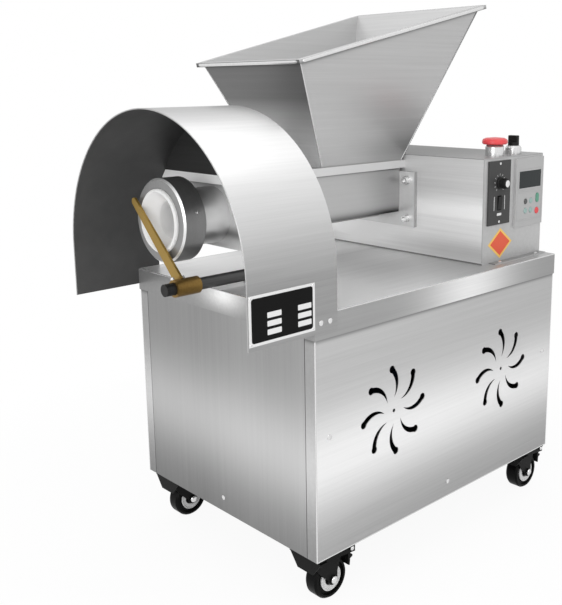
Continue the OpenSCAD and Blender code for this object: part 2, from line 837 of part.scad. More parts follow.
module gearbox() color("slategray") difference() {
  y2 = gearbox_front + gearbox_l;
  union() {
    block(line_x - gearbox_half + 10, line_x + gearbox_half - 10, gearbox_front, y2, deck_z, line_z + 40);
    rod_y(line_x, line_z, gearbox_front, y2, gearbox_half - 5);
    rod_x(worm_y, worm_z, line_x - gearbox_half, line_x + gearbox_half, 28);
    block(line_x - gearbox_half, line_x + gearbox_half, gearbox_front, y2, deck_z, deck_z + 12);
  }
  rod_y(line_x, line_z, gearbox_front - eps, y2 - 6, core_r + run_gap);
  rod_x(worm_y, worm_z, line_x + gearbox_half - 30, line_x + gearbox_half + eps, worm_shaft_r + run_gap);
}

// A grooved pulley with its stub shaft, in the belt's plane
module pulley(y, z, pitch_d, shaft_r, shaft_x) {
  r = pitch_d / 2;
  half = pulley_w / 2;
  translate([belt_x, y, z]) rotate([0, 90, 0]) rotate_extrude() polygon([
    [0, -half], [r + pulley_lip, -half], [r + pulley_lip, -half + 2], [r, -half + 2.5],
    [r, half - 2.5], [r + pulley_lip, half - 2], [r + pulley_lip, half], [0, half]
  ]);
  rod_x(y, z, shaft_x, belt_x, shaft_r);
}

module gearbox_pulley() color("dimgray")
  pulley(worm_y, worm_z, gearbox_pulley_d, worm_shaft_r, line_x + gearbox_half - 28);

module motor_pulley() color("dimgray")
  pulley(worm_y, motor_z, motor_pulley_d, motor_shaft_r, motor_right - 28);

module belt_loop(grow) {
  hull() {
    translate([worm_y, worm_z]) circle(r = gearbox_pulley_d / 2 + grow, $fn = 72);
    translate([worm_y, motor_z]) circle(r = motor_pulley_d / 2 + grow, $fn = 72);
  }
}

module drive_belt() color("black") extrude_x(belt_x - belt_w / 2, belt_x + belt_w / 2) difference() {
  belt_loop(move_gap + belt_t);
  belt_loop(move_gap);
}

module main_motor() color("steelblue") difference() {
  r = motor_d / 2;
  union() {
    rod_x(worm_y, motor_z, motor_right - motor_l, motor_right - 12, r);
    rod_x(worm_y, motor_z, motor_right - 12, motor_right, r - 20);
    for (x = [motor_right - 0.9 * motor_l, motor_right - 0.32 * motor_l]) {
      block(x, x + 36, worm_y - r, worm_y + r, frame_z, frame_z + 10);
      block(x, x + 36, worm_y - r + 15, worm_y + r - 15, frame_z, motor_z);
    }
    block(motor_right - 0.8 * motor_l, motor_right - 0.42 * motor_l, worm_y - 0.57 * r, worm_y + 0.57 * r,
          motor_z, motor_z + 1.34 * r);
  }
  rod_x(worm_y, motor_z, motor_right - 30, motor_right + eps, motor_shaft_r + run_gap);
}

// Cutter drive: a gearmotor under the deck, a pinion and gear, and the cutter shaft
module gear_outline(teeth) {
  pitch_r = gear_module * teeth / 2;
  tip_r = pitch_r + 0.85 * gear_module;
  root_r = pitch_r - 1.25 * gear_module;
  step = 360 / teeth;
  polygon([for (i = [0 : teeth - 1], p = [[root_r, -0.33], [tip_r, -0.11], [tip_r, 0.11], [root_r, 0.33]])
    p[0] * [cos((i + p[1]) * step), sin((i + p[1]) * step)]]);
}

module cutter_gear() color("goldenrod") difference() {
  extrude_y(gear_y - gear_w / 2, gear_y + gear_w / 2) translate([0, cutter_z]) gear_outline(gear_teeth);
  rod_y(0, cutter_z, gear_y - gear_w, gear_y + gear_w, cutter_shaft_r + fit_gap);
}

module cutter_pinion() color("gray") {
  union() {
    extrude_y(gear_y - gear_w / 2, gear_y + gear_w / 2) translate([0, pinion_z]) gear_outline(pinion_teeth);
    rod_y(0, pinion_z, gear_y, gear_y + gear_w / 2 + 30, pinion_shaft_r);
  }
}

module cutter_motor() color("steelblue") difference() {
  half = 40;
  y1 = gear_y + gear_w / 2 + 4;
  union() {
    block(-half, half, y1, y1 + 70, pinion_z - half, pinion_z + half);
    rod_y(0, pinion_z, y1 + 70, y1 + 170, half);
    block(-half - 15, half + 15, y1, y1 + 70, pinion_z + half, deck_under);
  }
  rod_y(0, pinion_z, y1 - eps, y1 + 40, pinion_shaft_r + run_gap);
}

module cutter_shaft() color("dimgray") rod_y(0, cutter_z, cutter_front, cutter_rear, cutter_shaft_r);

module pillow(y) {
  top_r = cutter_shaft_r + 9;
  foot_half = 30;
  foot_t = 7;
  difference() {
    union() {
      rod_y(0, cutter_z, y, y + pillow_l, top_r);
      block(-top_r, top_r, y, y + pillow_l, deck_z, cutter_z);
      block(-foot_half, foot_half, y, y + pillow_l, deck_z, deck_z + foot_t);
    }
    rod_y(0, cutter_z, y - eps, y + pillow_l + eps, cutter_shaft_r + run_gap);
    block(-foot_half, foot_half, y - eps, y + pillow_l + eps, deck_z - 20, deck_z);
  }
}

module cutter_bearings() color("slategray") {
  pillow(pillow_front);
  pillow(pillow_rear);
}

// Places children in the blade's frame: +Z along the blade from the shaft's axis
module at_blade() {
  translate([0, blade_mid, cutter_z]) rotate([0, -blade_angle, 0]) children();
}

module cutter_hub() color("darkgoldenrod") difference() {
  rod_y(0, cutter_z, hub_front, hub_rear, hub_r);
  rod_y(0, cutter_z, hub_front - eps, hub_rear + eps, cutter_shaft_r + fit_gap);
  at_blade() translate([-blade_w / 2 - fit_gap, -blade_t / 2 - fit_gap, blade_root])
    cube([blade_w + 2 * fit_gap, blade_t + 2 * fit_gap, 2 * hub_r]);
  at_blade() for (y = [-1, 1]) translate([0, y * 9, screw_seat_r]) cylinder(r = 4, h = hub_r);
}

// A flat blade that narrows from the hub to a round tip
module cutter_blade() color("goldenrod") at_blade() extrude_y(-blade_t / 2, blade_t / 2) {
  tip = blade_reach - blade_tip_w / 2;
  polygon([
    [-blade_w / 2, blade_root + fit_gap], [blade_w / 2, blade_root + fit_gap],
    [blade_tip_w / 2, tip], [-blade_tip_w / 2, tip]
  ]);
  translate([0, tip]) circle(d = blade_tip_w);
}

module cutter_screws() color("white") at_blade() {
  for (y = [-1, 1]) translate([0, y * 9, screw_seat_r]) difference() {
    cylinder(r = 3.5, h = 5.5);
    translate([0, 0, 3]) cylinder(r = 2, h = 4, $fn = 6);
  }
}

// Speed controller, knob and rocker
module speed_controller() color("black") difference() {
  union() {
    block(wall_x, speed_face, speed_y - speed_w / 2, speed_y + speed_w / 2,
          speed_z - speed_h / 2, speed_z + speed_h / 2);
    block(wall_x - 34, wall_x, speed_y - speed_body_half, speed_y + speed_body_half,
          speed_low, panel_body_top);
  }
  rod_x(speed_y, knob_z, speed_face - 14, speed_face + eps, knob_shaft_r + run_gap);
  block(speed_face - rocker_deep, speed_face + eps, speed_y - rocker_w / 2 - move_gap,
        speed_y + rocker_w / 2 + move_gap, rocker_z - rocker_h / 2 - 1, rocker_z + rocker_h / 2 + 1);
}

module speed_knob() color("black") {
  turn_x(speed_face + move_gap, speed_y, knob_z) polygon([
    [0, 0], [knob_r + 1.5, 0], [knob_r + 1.5, 2], [knob_r, 3], [knob_r - 0.6, knob_l - 1],
    [knob_r - 1.6, knob_l], [0, knob_l]
  ]);
  rod_x(speed_y, knob_z, speed_face - 12, speed_face + 1, knob_shaft_r);
}

// A rocker is a round-backed paddle whose front is a shallow vee
module rocker() color("black") {
  tip = 3;
  half = rocker_h / 2;
  paddle = [
    [-1, -3], [-1, 3], [0, half - 0.5], [tip, half - 0.5],
    [tip / 2 + 0.5, 0], [1, 0.5 - half], [0, 0.5 - half]
  ];
  extrude_y(speed_y - rocker_w / 2, speed_y + rocker_w / 2) translate([speed_face, rocker_z]) polygon(paddle);
  rod_y(speed_face - 2, rocker_z, speed_y - rocker_w / 2, speed_y + rocker_w / 2, 3.2);
}

// Inverter, its window and keys
module tall_key_outline(grow) {
  side = tall_key_h - tall_key_w;
  translate([-tall_key_w / 2 - grow, -side / 2]) square([tall_key_w + 2 * grow, side]);
  for (z = [-1, 1]) translate([0, z * side / 2]) circle(r = tall_key_w / 2 + grow);
}

module inverter() color("darkgray") difference() {
  union() {
    block(wall_x, face_x, inverter_y - inverter_w / 2, inverter_y + inverter_w / 2,
          inverter_z - inverter_h / 2, inverter_z + inverter_h / 2);
    block(wall_x - 45, wall_x, inverter_y - inverter_body_half, inverter_y + inverter_body_half,
          inverter_low, panel_body_top);
  }
  block(face_x - window_t, face_x + eps, inverter_y - display_w / 2, inverter_y + display_w / 2,
        display_z - display_h / 2, display_z + display_h / 2);
  for (y = small_key_y, z = small_key_z) rod_x(y, z, face_x - key_hole_deep, face_x + eps, key_r + move_gap);
  rod_x(tall_key_y, round_key_z, face_x - key_hole_deep, face_x + eps, key_r + 1 + move_gap);
  extrude_x(face_x - key_hole_deep, face_x + eps)
    translate([tall_key_y, tall_key_z]) tall_key_outline(move_gap);
}

module display_window() color("black") {
  block(face_x - window_t, face_x, inverter_y - display_w / 2 + fit_gap, inverter_y + display_w / 2 - fit_gap,
        display_z - display_h / 2 + fit_gap, display_z + display_h / 2 - fit_gap);
}

module round_key(y, z, r) {
  turn_x(key_back, y, z) polygon([
    [0, 0], [r, 0], [r, key_front - key_back - 0.8],
    [r - 0.8, key_front - key_back], [0, key_front - key_back]
  ]);
}

module run_key() color("green") extrude_x(key_back, key_front)
  translate([tall_key_y, tall_key_z]) tall_key_outline(0);

module stop_key() color("red") round_key(tall_key_y, round_key_z, key_r + 1);

module menu_key() color("dimgray") round_key(small_key_y[0], small_key_z[0], key_r);

module shift_key() color("lightgray") round_key(small_key_y[1], small_key_z[0], key_r);

module up_key() color("lightgray") round_key(small_key_y[0], small_key_z[1], key_r);

module down_key() color("lightgray") round_key(small_key_y[1], small_key_z[1], key_r);

// Buttons on top of the control box
module bezel(p, d, h) {
  difference() {
    union() {
      translate([p[0], p[1], control_top]) rotate_extrude() polygon([
        [0, 0], [d / 2, 0], [d / 2, h - 4], [d / 2 - 2.5, h], [0, h]
      ]);
      rod_z(p[0], p[1], control_top - bezel_deep, control_top, bezel_thread_r);
    }
    rod_z(p[0], p[1], control_top - bezel_deep - eps, control_top + h + eps, stem_r + run_gap);
  }
}

module button_bezels() color("silver") {
  bezel(stop_xy, stop_bezel_d, stop_bezel_h);
  bezel(selector_xy, bezel_d, bezel_h);
}

// The mushroom is hollow underneath, so that it sinks round its bezel
module emergency_stop() color("red") {
  r = mushroom_d / 2;
  lift = move_gap + 0.2;
  recess = lift + stop_travel + move_gap;
  recess_r = stop_bezel_d / 2 + 2 * move_gap;
  translate([stop_xy[0], stop_xy[1], stop_top]) rotate_extrude() polygon([
    [0, recess], [recess_r, recess], [recess_r, lift], [r - 2, lift], [r, lift + 2], [r, lift + 6],
    [r - 1.5, lift + 9], [r - 6, lift + 11], [0, lift + 12.5]
  ]);
  rod_z(stop_xy[0], stop_xy[1], control_top - 15, stop_top + recess + 1, stem_r);
}

module selector_knob() color("black") {
  r = selector_d / 2;
  difference() {
    union() {
      translate([selector_xy[0], selector_xy[1], bezel_top + move_gap]) rotate_extrude() polygon([
        [0, 0], [r, 0], [r, 17], [r - 1, 18], [0, 18]
      ]);
      rod_z(selector_xy[0], selector_xy[1], control_top - 15, bezel_top + 1, stem_r);
    }
    for (y = [-r - 4, 4]) translate([selector_xy[0] - r - eps, selector_xy[1] + y, bezel_top + 6])
      cube([2 * r + 2 * eps, r, 20]);
  }
}

// Casters
module at_caster(i) {
  translate([caster_places[i][0] * swivel_x, y0 + caster_places[i][1] * swivel_y, 0]) children();
}

module caster_plate() {
  x = caster_plate_x / 2;
  y = caster_plate_y / 2;
  difference() {
    block(-x, x, -y, y, plate_bottom, base_z);
    for (p = caster_places) rod_z(p[0] * (x - 10), p[1] * (y - 10), plate_bottom - eps, base_z + eps, 4.2);
  }
  rod_z(0, 0, race_bottom, plate_bottom, race_r);
  rod_z(0, 0, fork_top - fork_t - move_gap - 3, race_bottom, king_r);
  rod_z(0, 0, fork_top - fork_t - move_gap - 3, fork_top - fork_t - move_gap, king_r + 4);
}

module caster_plates() color("black") {
  for (i = [0 : 3]) at_caster(i) caster_plate();
}

// Side view of a fork's cheek, from the swivel axis: y back, z up
module cheek_outline() {
  boss = axle_r + 5;
  rear = caster_trail + cheek_rear;
  polygon([
    [apron_y, fork_top], [rear, fork_top], [rear, brake_z - 9], [caster_trail + 16, brake_z - 6],
    [caster_trail + boss, wheel_r + 12], [caster_trail + boss, wheel_r], [caster_trail - boss, wheel_r],
    [caster_trail - 24, wheel_r + 14], [apron_y, fork_top - 8]
  ]);
  translate([caster_trail, wheel_r]) circle(r = boss);
}

module fork(i) color("black") at_caster(i) difference() {
  outer = fork_half + fork_t;
  union() {
    for (s = [-1, 1]) {
      x = s * (fork_half + fork_t / 2);
      extrude_x(x - fork_t / 2, x + fork_t / 2) cheek_outline();
    }
    block(-outer, outer, apron_y, race_r, fork_top - fork_t, fork_top);
    block(-apron_half, apron_half, apron_y, apron_y + 14, fork_top - fork_t, fork_top);
    extrude_y(apron_y, apron_y + fork_t) polygon([
      [-apron_half, fork_top], [apron_half, fork_top], [outer, fork_top - 24], [-outer, fork_top - 24]
    ]);
    rod_x(caster_trail, wheel_r, -outer - 1, outer + 1, axle_r);
    for (s = [-1, 1]) {
      x = s * (outer + 1.5);
      rod_x(caster_trail, wheel_r, x - 1.5, x + 1.5, axle_r + 2.5);
      rod_x(brake_y, brake_z, x - 1.5, x + 1.5, brake_pin_r + 1.5);
    }
    rod_x(brake_y, brake_z, -outer, outer, brake_pin_r);
  }
  rod_z(0, 0, fork_top - fork_t - eps, fork_top + eps, king_r + run_gap);
}

module wheel(i) color("black") at_caster(i) {
  half = wheel_w / 2;
  bore = axle_r + run_gap;
  turn_x(0, caster_trail, wheel_r) polygon([
    [bore, -half], [9, -half], [9, 3 - half], [wheel_r - 7, 4 - half], [wheel_r - 6, -half + 0.5],
    [wheel_r - 2.5, -half + 0.5], [wheel_r, -half + 4], [wheel_r, half - 4], [wheel_r - 2.5, half - 0.5],
    [wheel_r - 6, half - 0.5], [wheel_r - 7, half - 4], [9, half - 3], [9, half], [bore, half]
  ]);
}

// A brake pedal hangs from the fork's rear pin, with its shoe behind the tyre
module brake(i) color("black") at_caster(i) {
  half = fork_half - move_gap;
  drop = 30;
  difference() {
    union() {
      rod_x(brake_y, brake_z, -half, half, brake_pin_r + 2.5);
      extrude_x(-half, half) translate([brake_y, brake_z]) polygon([
        [-3, 0], [-3, -drop], [0, -drop - 1], [1, -drop + 10],
        [6, -drop + 12], [6, -drop + 15], [1, -drop + 16], [3, 0]
      ]);
    }
    rod_x(brake_y, brake_z, -half - eps, half + eps, brake_pin_r + run_gap);
  }
}

frame();
base_plate();
left_panel();
right_panel();
front_panel();
rear_panel();
top_deck();
pan_screws();
guard();
guard_back();
rating_plate();
control_box();
feed_box();
feed_bolts();
hopper();
barrel();
collar_nut();
mouthpiece();
feed_screw();
drive_shaft();
gearbox();
gearbox_pulley();
drive_belt();
motor_pulley();
main_motor();
cutter_motor();
cutter_pinion();
cutter_gear();
cutter_shaft();
cutter_bearings();
cutter_hub();
cutter_blade();
cutter_screws();
speed_controller();
speed_knob();
rocker();
inverter();
display_window();
run_key();
stop_key();
menu_key();
shift_key();
up_key();
down_key();
button_bezels();
emergency_stop();
selector_knob();
caster_plates();
fork(0);  // front_left_fork
fork(1);  // front_right_fork
fork(2);  // rear_left_fork
fork(3);  // rear_right_fork
wheel(0);  // front_left_wheel
wheel(1);  // front_right_wheel
wheel(2);  // rear_left_wheel
wheel(3);  // rear_right_wheel
brake(0);  // front_left_brake
brake(1);  // front_right_brake
brake(2);  // rear_left_brake
brake(3);  // rear_right_brake
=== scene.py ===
# %% [markdown]
# A screw-fed dough divider
# The machine is a brushed stainless cabinet on casters. A hopper drops dough onto a
# feed screw, the screw pushes it through a white mouthpiece, and a brass blade turns
# in front of the mouth and cuts portions under an arched guard.
# The solids come in already at their true size, so this script gives them their
# finishes and adds the small trim that a maker fits last.

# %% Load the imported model
import math

import bmesh
import bpy
from mathutils import Matrix, Vector


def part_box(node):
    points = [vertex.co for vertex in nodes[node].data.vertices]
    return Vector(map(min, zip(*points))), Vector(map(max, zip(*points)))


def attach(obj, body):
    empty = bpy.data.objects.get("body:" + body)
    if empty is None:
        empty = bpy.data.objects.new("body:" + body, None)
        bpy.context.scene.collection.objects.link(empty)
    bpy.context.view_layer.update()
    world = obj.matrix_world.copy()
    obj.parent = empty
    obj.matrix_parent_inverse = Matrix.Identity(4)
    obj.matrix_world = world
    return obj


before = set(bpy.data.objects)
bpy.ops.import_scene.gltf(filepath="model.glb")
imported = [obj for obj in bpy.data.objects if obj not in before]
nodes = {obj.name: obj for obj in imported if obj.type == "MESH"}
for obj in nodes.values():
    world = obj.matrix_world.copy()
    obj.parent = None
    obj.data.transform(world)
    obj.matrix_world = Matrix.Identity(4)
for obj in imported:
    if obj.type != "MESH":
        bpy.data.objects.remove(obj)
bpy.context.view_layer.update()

# %% [markdown]
# Lengths are easier to read in millimetres, while Blender works in metres, so one factor
# turns the first into the second. The axes get names too: X runs to the right of somebody
# who faces the machine, Y away from its front, and Z up.

# %% Measures
MM = 0.001
ALONG_X, ALONG_Y, ALONG_Z = 0, 1, 2

# %% [markdown]
# A finish is a tree of shader nodes. Its sums could be wired by hand, node by node, but
# that hides the idea. So a small class wraps an output socket, and Python's own operators
# on it add the Math nodes. The reflected forms let a plain number stand on the left.

# %% Shader arithmetic


class Wire:
    """One output in a tree of shader nodes. Arithmetic on it adds Math nodes."""

    def __init__(self, tree, output):
        self.tree = tree
        self.output = output

    def maths(self, operation, first, second):
        return self.tree.node("ShaderNodeMath", {"operation": operation}, {0: first, 1: second})

    def __add__(self, other):
        return self.maths("ADD", self, other)

    def __radd__(self, other):
        return self.maths("ADD", other, self)

    def __sub__(self, other):
        return self.maths("SUBTRACT", self, other)

    def __rsub__(self, other):
        return self.maths("SUBTRACT", other, self)

    def __mul__(self, other):
        return self.maths("MULTIPLY", self, other)

    def __rmul__(self, other):
        return self.maths("MULTIPLY", other, self)

    def __truediv__(self, other):
        return self.maths("DIVIDE", self, other)

    def __rtruediv__(self, other):
        return self.maths("DIVIDE", other, self)

    def __rpow__(self, other):
        return self.maths("POWER", other, self)

    def __gt__(self, other):
        return self.maths("GREATER_THAN", self, other)

    def __lt__(self, other):
        return self.maths("LESS_THAN", self, other)

    def __abs__(self):
        return self.maths("ABSOLUTE", self, 0.0)

    def above(self, least):
        return self.maths("MAXIMUM", self, least)

    def below(self, most):
        return self.maths("MINIMUM", self, most)

    def held(self):
        """The value, held between nought and one."""
        return self.above(0.0).below(1.0)


print("wires ready")

# %% [markdown]
# The tree round those wires has one method that makes any node: its settings go first,
# then the values or links of its sockets. A finish is such a tree with one Principled
# shader in it, and the world behind the machine is another, so both share that method.

# %% Finish builder


class Tree:
    """A tree of shader nodes that ends in one output node."""

    def __init__(self, tree, end):
        self.tree = tree
        tree.nodes.clear()
        self.target = self.node(end, output=None)

    def node(self, kind, settings=None, sockets=None, output=0):
        """Makes a node and gives one of its outputs, or the node itself where output is None."""
        made = self.tree.nodes.new(kind)
        for key, value in (settings or {}).items():
            setattr(made, key, value)
        for key, value in (sockets or {}).items():
            self.feed(made.inputs[key], value)
        if output is None:
            return made
        return Wire(self, made.outputs[output])

    def feed(self, socket, value):
        if isinstance(value, Wire):
            self.tree.links.new(value.output, socket)
        else:
            socket.default_value = value

    def show(self, surface):
        """Sends a shader to the output node."""
        self.feed(self.target.inputs["Surface"], surface)


class Finish(Tree):
    """A material built round one Principled shader."""

    def __init__(self, name, **sockets):
        self.material = bpy.data.materials.new(name)
        self.material.use_nodes = True
        super().__init__(self.material.node_tree, "ShaderNodeOutputMaterial")
        self.shader = self.node("ShaderNodeBsdfPrincipled", output=None)
        self.surface = Wire(self, self.shader.outputs[0])
        self.show(self.surface)
        self.set(**sockets)

    def set(self, **sockets):
        for key, value in sockets.items():
            self.feed(self.shader.inputs[key.replace("_", " ")], value)

    def spots(self):
        """The place on the solid itself, as a vector in metres."""
        return self.node("ShaderNodeTexCoord", output="Object")

    def normals(self):
        """The way the surface faces, as a vector that turns with the solid."""
        return self.node("ShaderNodeTexCoord", output="Normal")

    def part(self, vector, axis):
        """One of a vector's three numbers."""
        return self.node("ShaderNodeSeparateXYZ", {}, {0: vector}, output=axis)

    def spot(self, axis):
        return self.part(self.spots(), axis)

    def facing(self, axis):
        """How far the surface faces along an axis, from -1 to 1."""
        return self.part(self.normals(), axis)

    def to_front(self):
        """How far the surface faces the front, from 0 to 1."""
        return (self.facing(ALONG_Y) * -1.0).above(0.0)

    def dot(self, first, second):
        """The dot product of two vectors."""
        settings = {"operation": "DOT_PRODUCT"}
        return self.node("ShaderNodeVectorMath", settings, {0: first, 1: second}, output="Value")

    def noise(self, scale, detail=3.0, stretch=(1, 1, 1)):
        """Noise on the solid, drawn out along each axis."""
        sockets = {"Vector": self.spots(), "Scale": stretch}
        place = self.node("ShaderNodeMapping", {"vector_type": "POINT"}, sockets)
        return self.node("ShaderNodeTexNoise", {}, {"Vector": place, "Scale": scale, "Detail": detail})

    def swell(self, axis, centre, reach):
        """One at a place along an axis, falling softly to nought two reaches away."""
        away = (self.spot(axis) - centre) / reach
        return math.e ** (away * away * -1.0)

    def tone(self, level):
        """A neutral colour of a level that varies."""
        return self.node("ShaderNodeCombineColor", {}, {0: level, 1: level, 2: level})

    def relevel(self, level):
        """Takes a neutral colour of a level, and keeps the level for later steps."""
        self.level = level
        self.set(Base_Color=self.tone(level))

    def fold(self, front=1.0, side=1.0, top=1.0):
        """Gives the faces to the front, the right and the top shares of the level of their own: painted
        light and shade by the way each face looks.
        """
        to_front = self.to_front()
        to_side = self.facing(ALONG_X).above(0.0)
        to_top = self.facing(ALONG_Z).above(0.0)
        share = 1.0 + to_front * (front - 1.0) + to_side * (side - 1.0) + to_top * (top - 1.0)
        self.relevel(self.level * share)

    def mix(self, share, dark, light):
        return self.node("ShaderNodeMix", {"data_type": "RGBA"}, {0: share, 6: dark, 7: light}, output=2)

    def bump(self, height, strength, distance):
        sockets = {"Height": height, "Strength": strength, "Distance": distance}
        self.set(Normal=self.node("ShaderNodeBump", {}, sockets))


def grey(level):
    """A neutral colour."""
    return (level, level, level, 1.0)


finishes = {}
print("finish builder ready")

# %% [markdown]
# Brushed stainless is the machine's main finish. The belt that brushes a sheet leaves
# fine parallel scratches, so light spreads across them and the sheet reads as satin. A
# picture of a brushed sheet would blur close up, so long thin noise gives the scratches:
# it changes fast across the grain and slowly along it. A coarser noise of the same kind
# gives the streaks between them, and a third, much broader one soft bands, partly the
# sheet's own tone and partly painted sheen, such as a brushed sheet shows from one end
# to the other. They vary the colour a little, and the scratches the roughness and a faint
# bump too.
# The grain's direction is a choice: a set of axes, because a piece with walls all round
# is brushed level, along two of them. A satin sheet also scatters some light as paper
# does, so the metal share stays under one.

# %% Brushed sheet
SCRATCHES, STREAKS, BANDS = (900.0, 9.0), (170.0, 3.0), (5.0, 1.2)


def drawn_out(grain, across, along):
    """A noise's stretch that is fast across the grain and slow along it."""
    return tuple(along if axis in grain else across for axis in range(3))


def brushed_sheet(name, level, grain, roughness=0.32, contrast=0.04, bands=0.06, metal=0.8):
    finish = Finish(name, Metallic=metal, Specular_Tint=grey(0.6))
    scratch = finish.noise(1.0, 4.0, drawn_out(grain, *SCRATCHES))
    streak = finish.noise(1.0, 2.0, drawn_out(grain, *STREAKS))
    band = finish.noise(1.0, 1.0, drawn_out(grain, *BANDS))
    fine = (scratch + streak - 1.0) * (2 * contrast)
    # Broad bands: partly the sheet's own tone, partly painted sheen.
    finish.relevel(level + fine + (band - 0.5) * (4 * bands))
    finish.set(Roughness=roughness - 0.05 + scratch * 0.1)
    finish.bump(scratch, 0.06, 0.4 * MM)
    finishes[name] = finish
    return finish


brushed_sheet("screw_metal", 0.56, {ALONG_X}, roughness=0.2)
brushed_sheet("bright_metal", 0.72, {ALONG_Z}, roughness=0.2, contrast=0.03, bands=0.0)
brushed_sheet("hem_metal", 0.45, {ALONG_Z}, contrast=0.03, bands=0.0)
brushed_sheet("shaft_metal", 0.30, {ALONG_Y}, roughness=0.25)
print("sheet finishes:", len(finishes))

# %% [markdown]
# A brushed panel never shines evenly. One broad band, where the grain turns the light
# towards the room, is much brighter than the rest, and the sheet falls off to its edges.
# A lamp could throw that band, but it would then stay behind when the machine turns. So
# each panel gets a painted highlight, a swell of its own across its height, over a painted
# gradient that lightens it upwards and along its length. The end panels are painted darker
# than the side panels, and so are the side panels' faces to the front. The side panels get
# a painted shadow too, a dark line under the deck's skirt.

# %% Cabinet panels
panel_low, panel_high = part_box("right_panel")
deck_low, deck_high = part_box("top_deck")
PANEL_RISE = panel_high.z - panel_low.z
PANEL_HIGHLIGHT = panel_low.z + 0.43 * PANEL_RISE
SKIRT_END = deck_low.z - 1 * MM

side_sheet = brushed_sheet("panel_sheet_side", 0.35, {ALONG_Y}, bands=0.03)
side_rise = (side_sheet.spot(ALONG_Z) - panel_low.z) / PANEL_RISE
# Painted highlight band over a painted gradient, lighter upwards and towards the front.
side_highlight = side_sheet.swell(ALONG_Z, PANEL_HIGHLIGHT, 80 * MM)
side_sheet.relevel(side_sheet.level + side_rise * 0.16 + side_highlight * 0.43)
side_sheet.relevel(side_sheet.level * (1.03 - side_sheet.spot(ALONG_Y) * 0.12))
side_sheet.fold(front=0.72)
# Painted shadow under the deck's skirt.
skirt_shadow = side_sheet.swell(ALONG_Z, SKIRT_END, 4 * MM)
side_sheet.relevel(side_sheet.level * (1.0 - skirt_shadow * 0.5))

end_sheet = brushed_sheet("panel_sheet_end", 0.22, {ALONG_Z}, contrast=0.022, bands=0.03)
end_rise = (end_sheet.spot(ALONG_Z) - panel_low.z) / PANEL_RISE
# Painted highlight band over a painted gradient, lighter upwards and to the right.
end_highlight = end_sheet.swell(ALONG_Z, PANEL_HIGHLIGHT, 85 * MM)
end_sheet.relevel(end_sheet.level + end_rise * 0.10 + end_highlight * 0.29)
end_sheet.relevel(end_sheet.level * (1.0 + end_sheet.spot(ALONG_X) * 0.3))
print("panel height in mm:", round(1000 * PANEL_RISE))

# %% [markdown]
# Faces that look different ways catch different light, even on one piece of sheet. So the
# folded pieces get a level for each way they face, as painted light and shade. The
# object-space normal says which way that is, and it turns with the piece, so the painted
# shading stays with the metal. On the deck's skirt a painted highlight swells near the
# middle of each side. Painted light makes the top lightest near the front, beside the
# control box's foot and along its left.

# %% Deck sheet
deck_sheet = brushed_sheet("deck_sheet", 0.48, {ALONG_Y}, roughness=0.34, bands=0.05, metal=0.55)
skirt_height = deck_sheet.swell(ALONG_Z, deck_high.z - 5 * MM, 22 * MM)
front_shine = deck_sheet.swell(ALONG_X, 12 * MM, 52 * MM) * skirt_height
side_shine = deck_sheet.swell(ALONG_Y, 100 * MM, 110 * MM)
near_light = deck_sheet.swell(ALONG_Y, -130 * MM, 160 * MM)
deck_foot_light = deck_sheet.swell(ALONG_X, 0.0, 90 * MM) * deck_sheet.swell(ALONG_Y, 170 * MM, 120 * MM)
left_light = deck_sheet.swell(ALONG_X, -120 * MM, 140 * MM)
# Painted light and shade: a level for each way a face looks, painted highlights on the skirt, painted
# light on the top.
deck_sheet.fold(
    front=0.60 + front_shine * 1.35,
    side=0.70 + side_shine,
    top=(1.08 + near_light * 1.05 + deck_foot_light * 0.8).above(left_light * 2.0),
)
print("deck height in mm:", round(1000 * deck_high.z))

# %% [markdown]
# The control box has two painted highlights across its front, one above the other, and a
# third painted light where the deck throws light up onto its foot. Its front faces are
# painted lighter and its top darker, except for a painted highlight round the buttons. Just
# above the foot the front gets a little painted shade, and the front edge of the foot a dark
# line of painted shade where it meets the deck. Heights are counted from the foot, so the
# bands stay on the box.

# %% Control box sheet
control_low, control_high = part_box("control_box")
control_sheet = brushed_sheet("control_sheet", 0.52, {ALONG_X}, roughness=0.4, bands=0.05, metal=0.4)


def over_foot(rise, reach):
    """A swell at a height over the control box's foot."""
    return control_sheet.swell(ALONG_Z, control_low.z + rise, reach)


# Painted highlights across the front, painted light on the foot and painted shade just above it.
front_highlights = over_foot(91 * MM, 22 * MM) * 0.75 + over_foot(55 * MM, 20 * MM) * 0.375
foot_light = control_sheet.swell(ALONG_X, -100 * MM, 120 * MM) * over_foot(23 * MM, 30 * MM)
foot_shade = over_foot(17 * MM, 16 * MM) * 0.25
# The top is painted darker, with a painted highlight near the buttons.
control_sheet.fold(
    front=1.3 + front_highlights + foot_light - foot_shade,
    top=0.36 + control_sheet.swell(ALONG_X, 190 * MM, 90 * MM) * 0.3,
)
# Painted shade along the front edge of the foot, where it meets the deck.
foot_edge_shade = (control_sheet.spot(ALONG_Z) < control_low.z + 2.5 * MM) * control_sheet.to_front()
control_sheet.relevel(control_sheet.level * (1.0 - foot_edge_shade * 0.7))
print("control box height in mm:", round(1000 * (control_high.z - control_low.z)))

# %% [markdown]
# The feed box carries the hopper on a thick strip, which is polished. Its wall below is
# plain, with painted shade: a dark line under the strip, a dark band along the lower edge
# and a darkening towards the flange. Its front faces are painted lighter. Strips of mesh
# could show these, but they have soft ends and no thickness, so swells in the colour suit
# them better.

# %% Feed box metal
feed_low, feed_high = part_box("feed_box")
STRIP_LOW = feed_high.z - 14 * MM
WALL_LOW = feed_low.z + 26.5 * MM
FLANGE_FRONT = feed_high.y - 10 * MM

feed_metal = brushed_sheet(
    "feed_metal", 0.54, {ALONG_Y}, roughness=0.36, contrast=0.02, bands=0.05, metal=0.55)
on_strip = feed_metal.spot(ALONG_Z) > STRIP_LOW
on_wall_sheet = feed_metal.spot(ALONG_Y) < FLANGE_FRONT
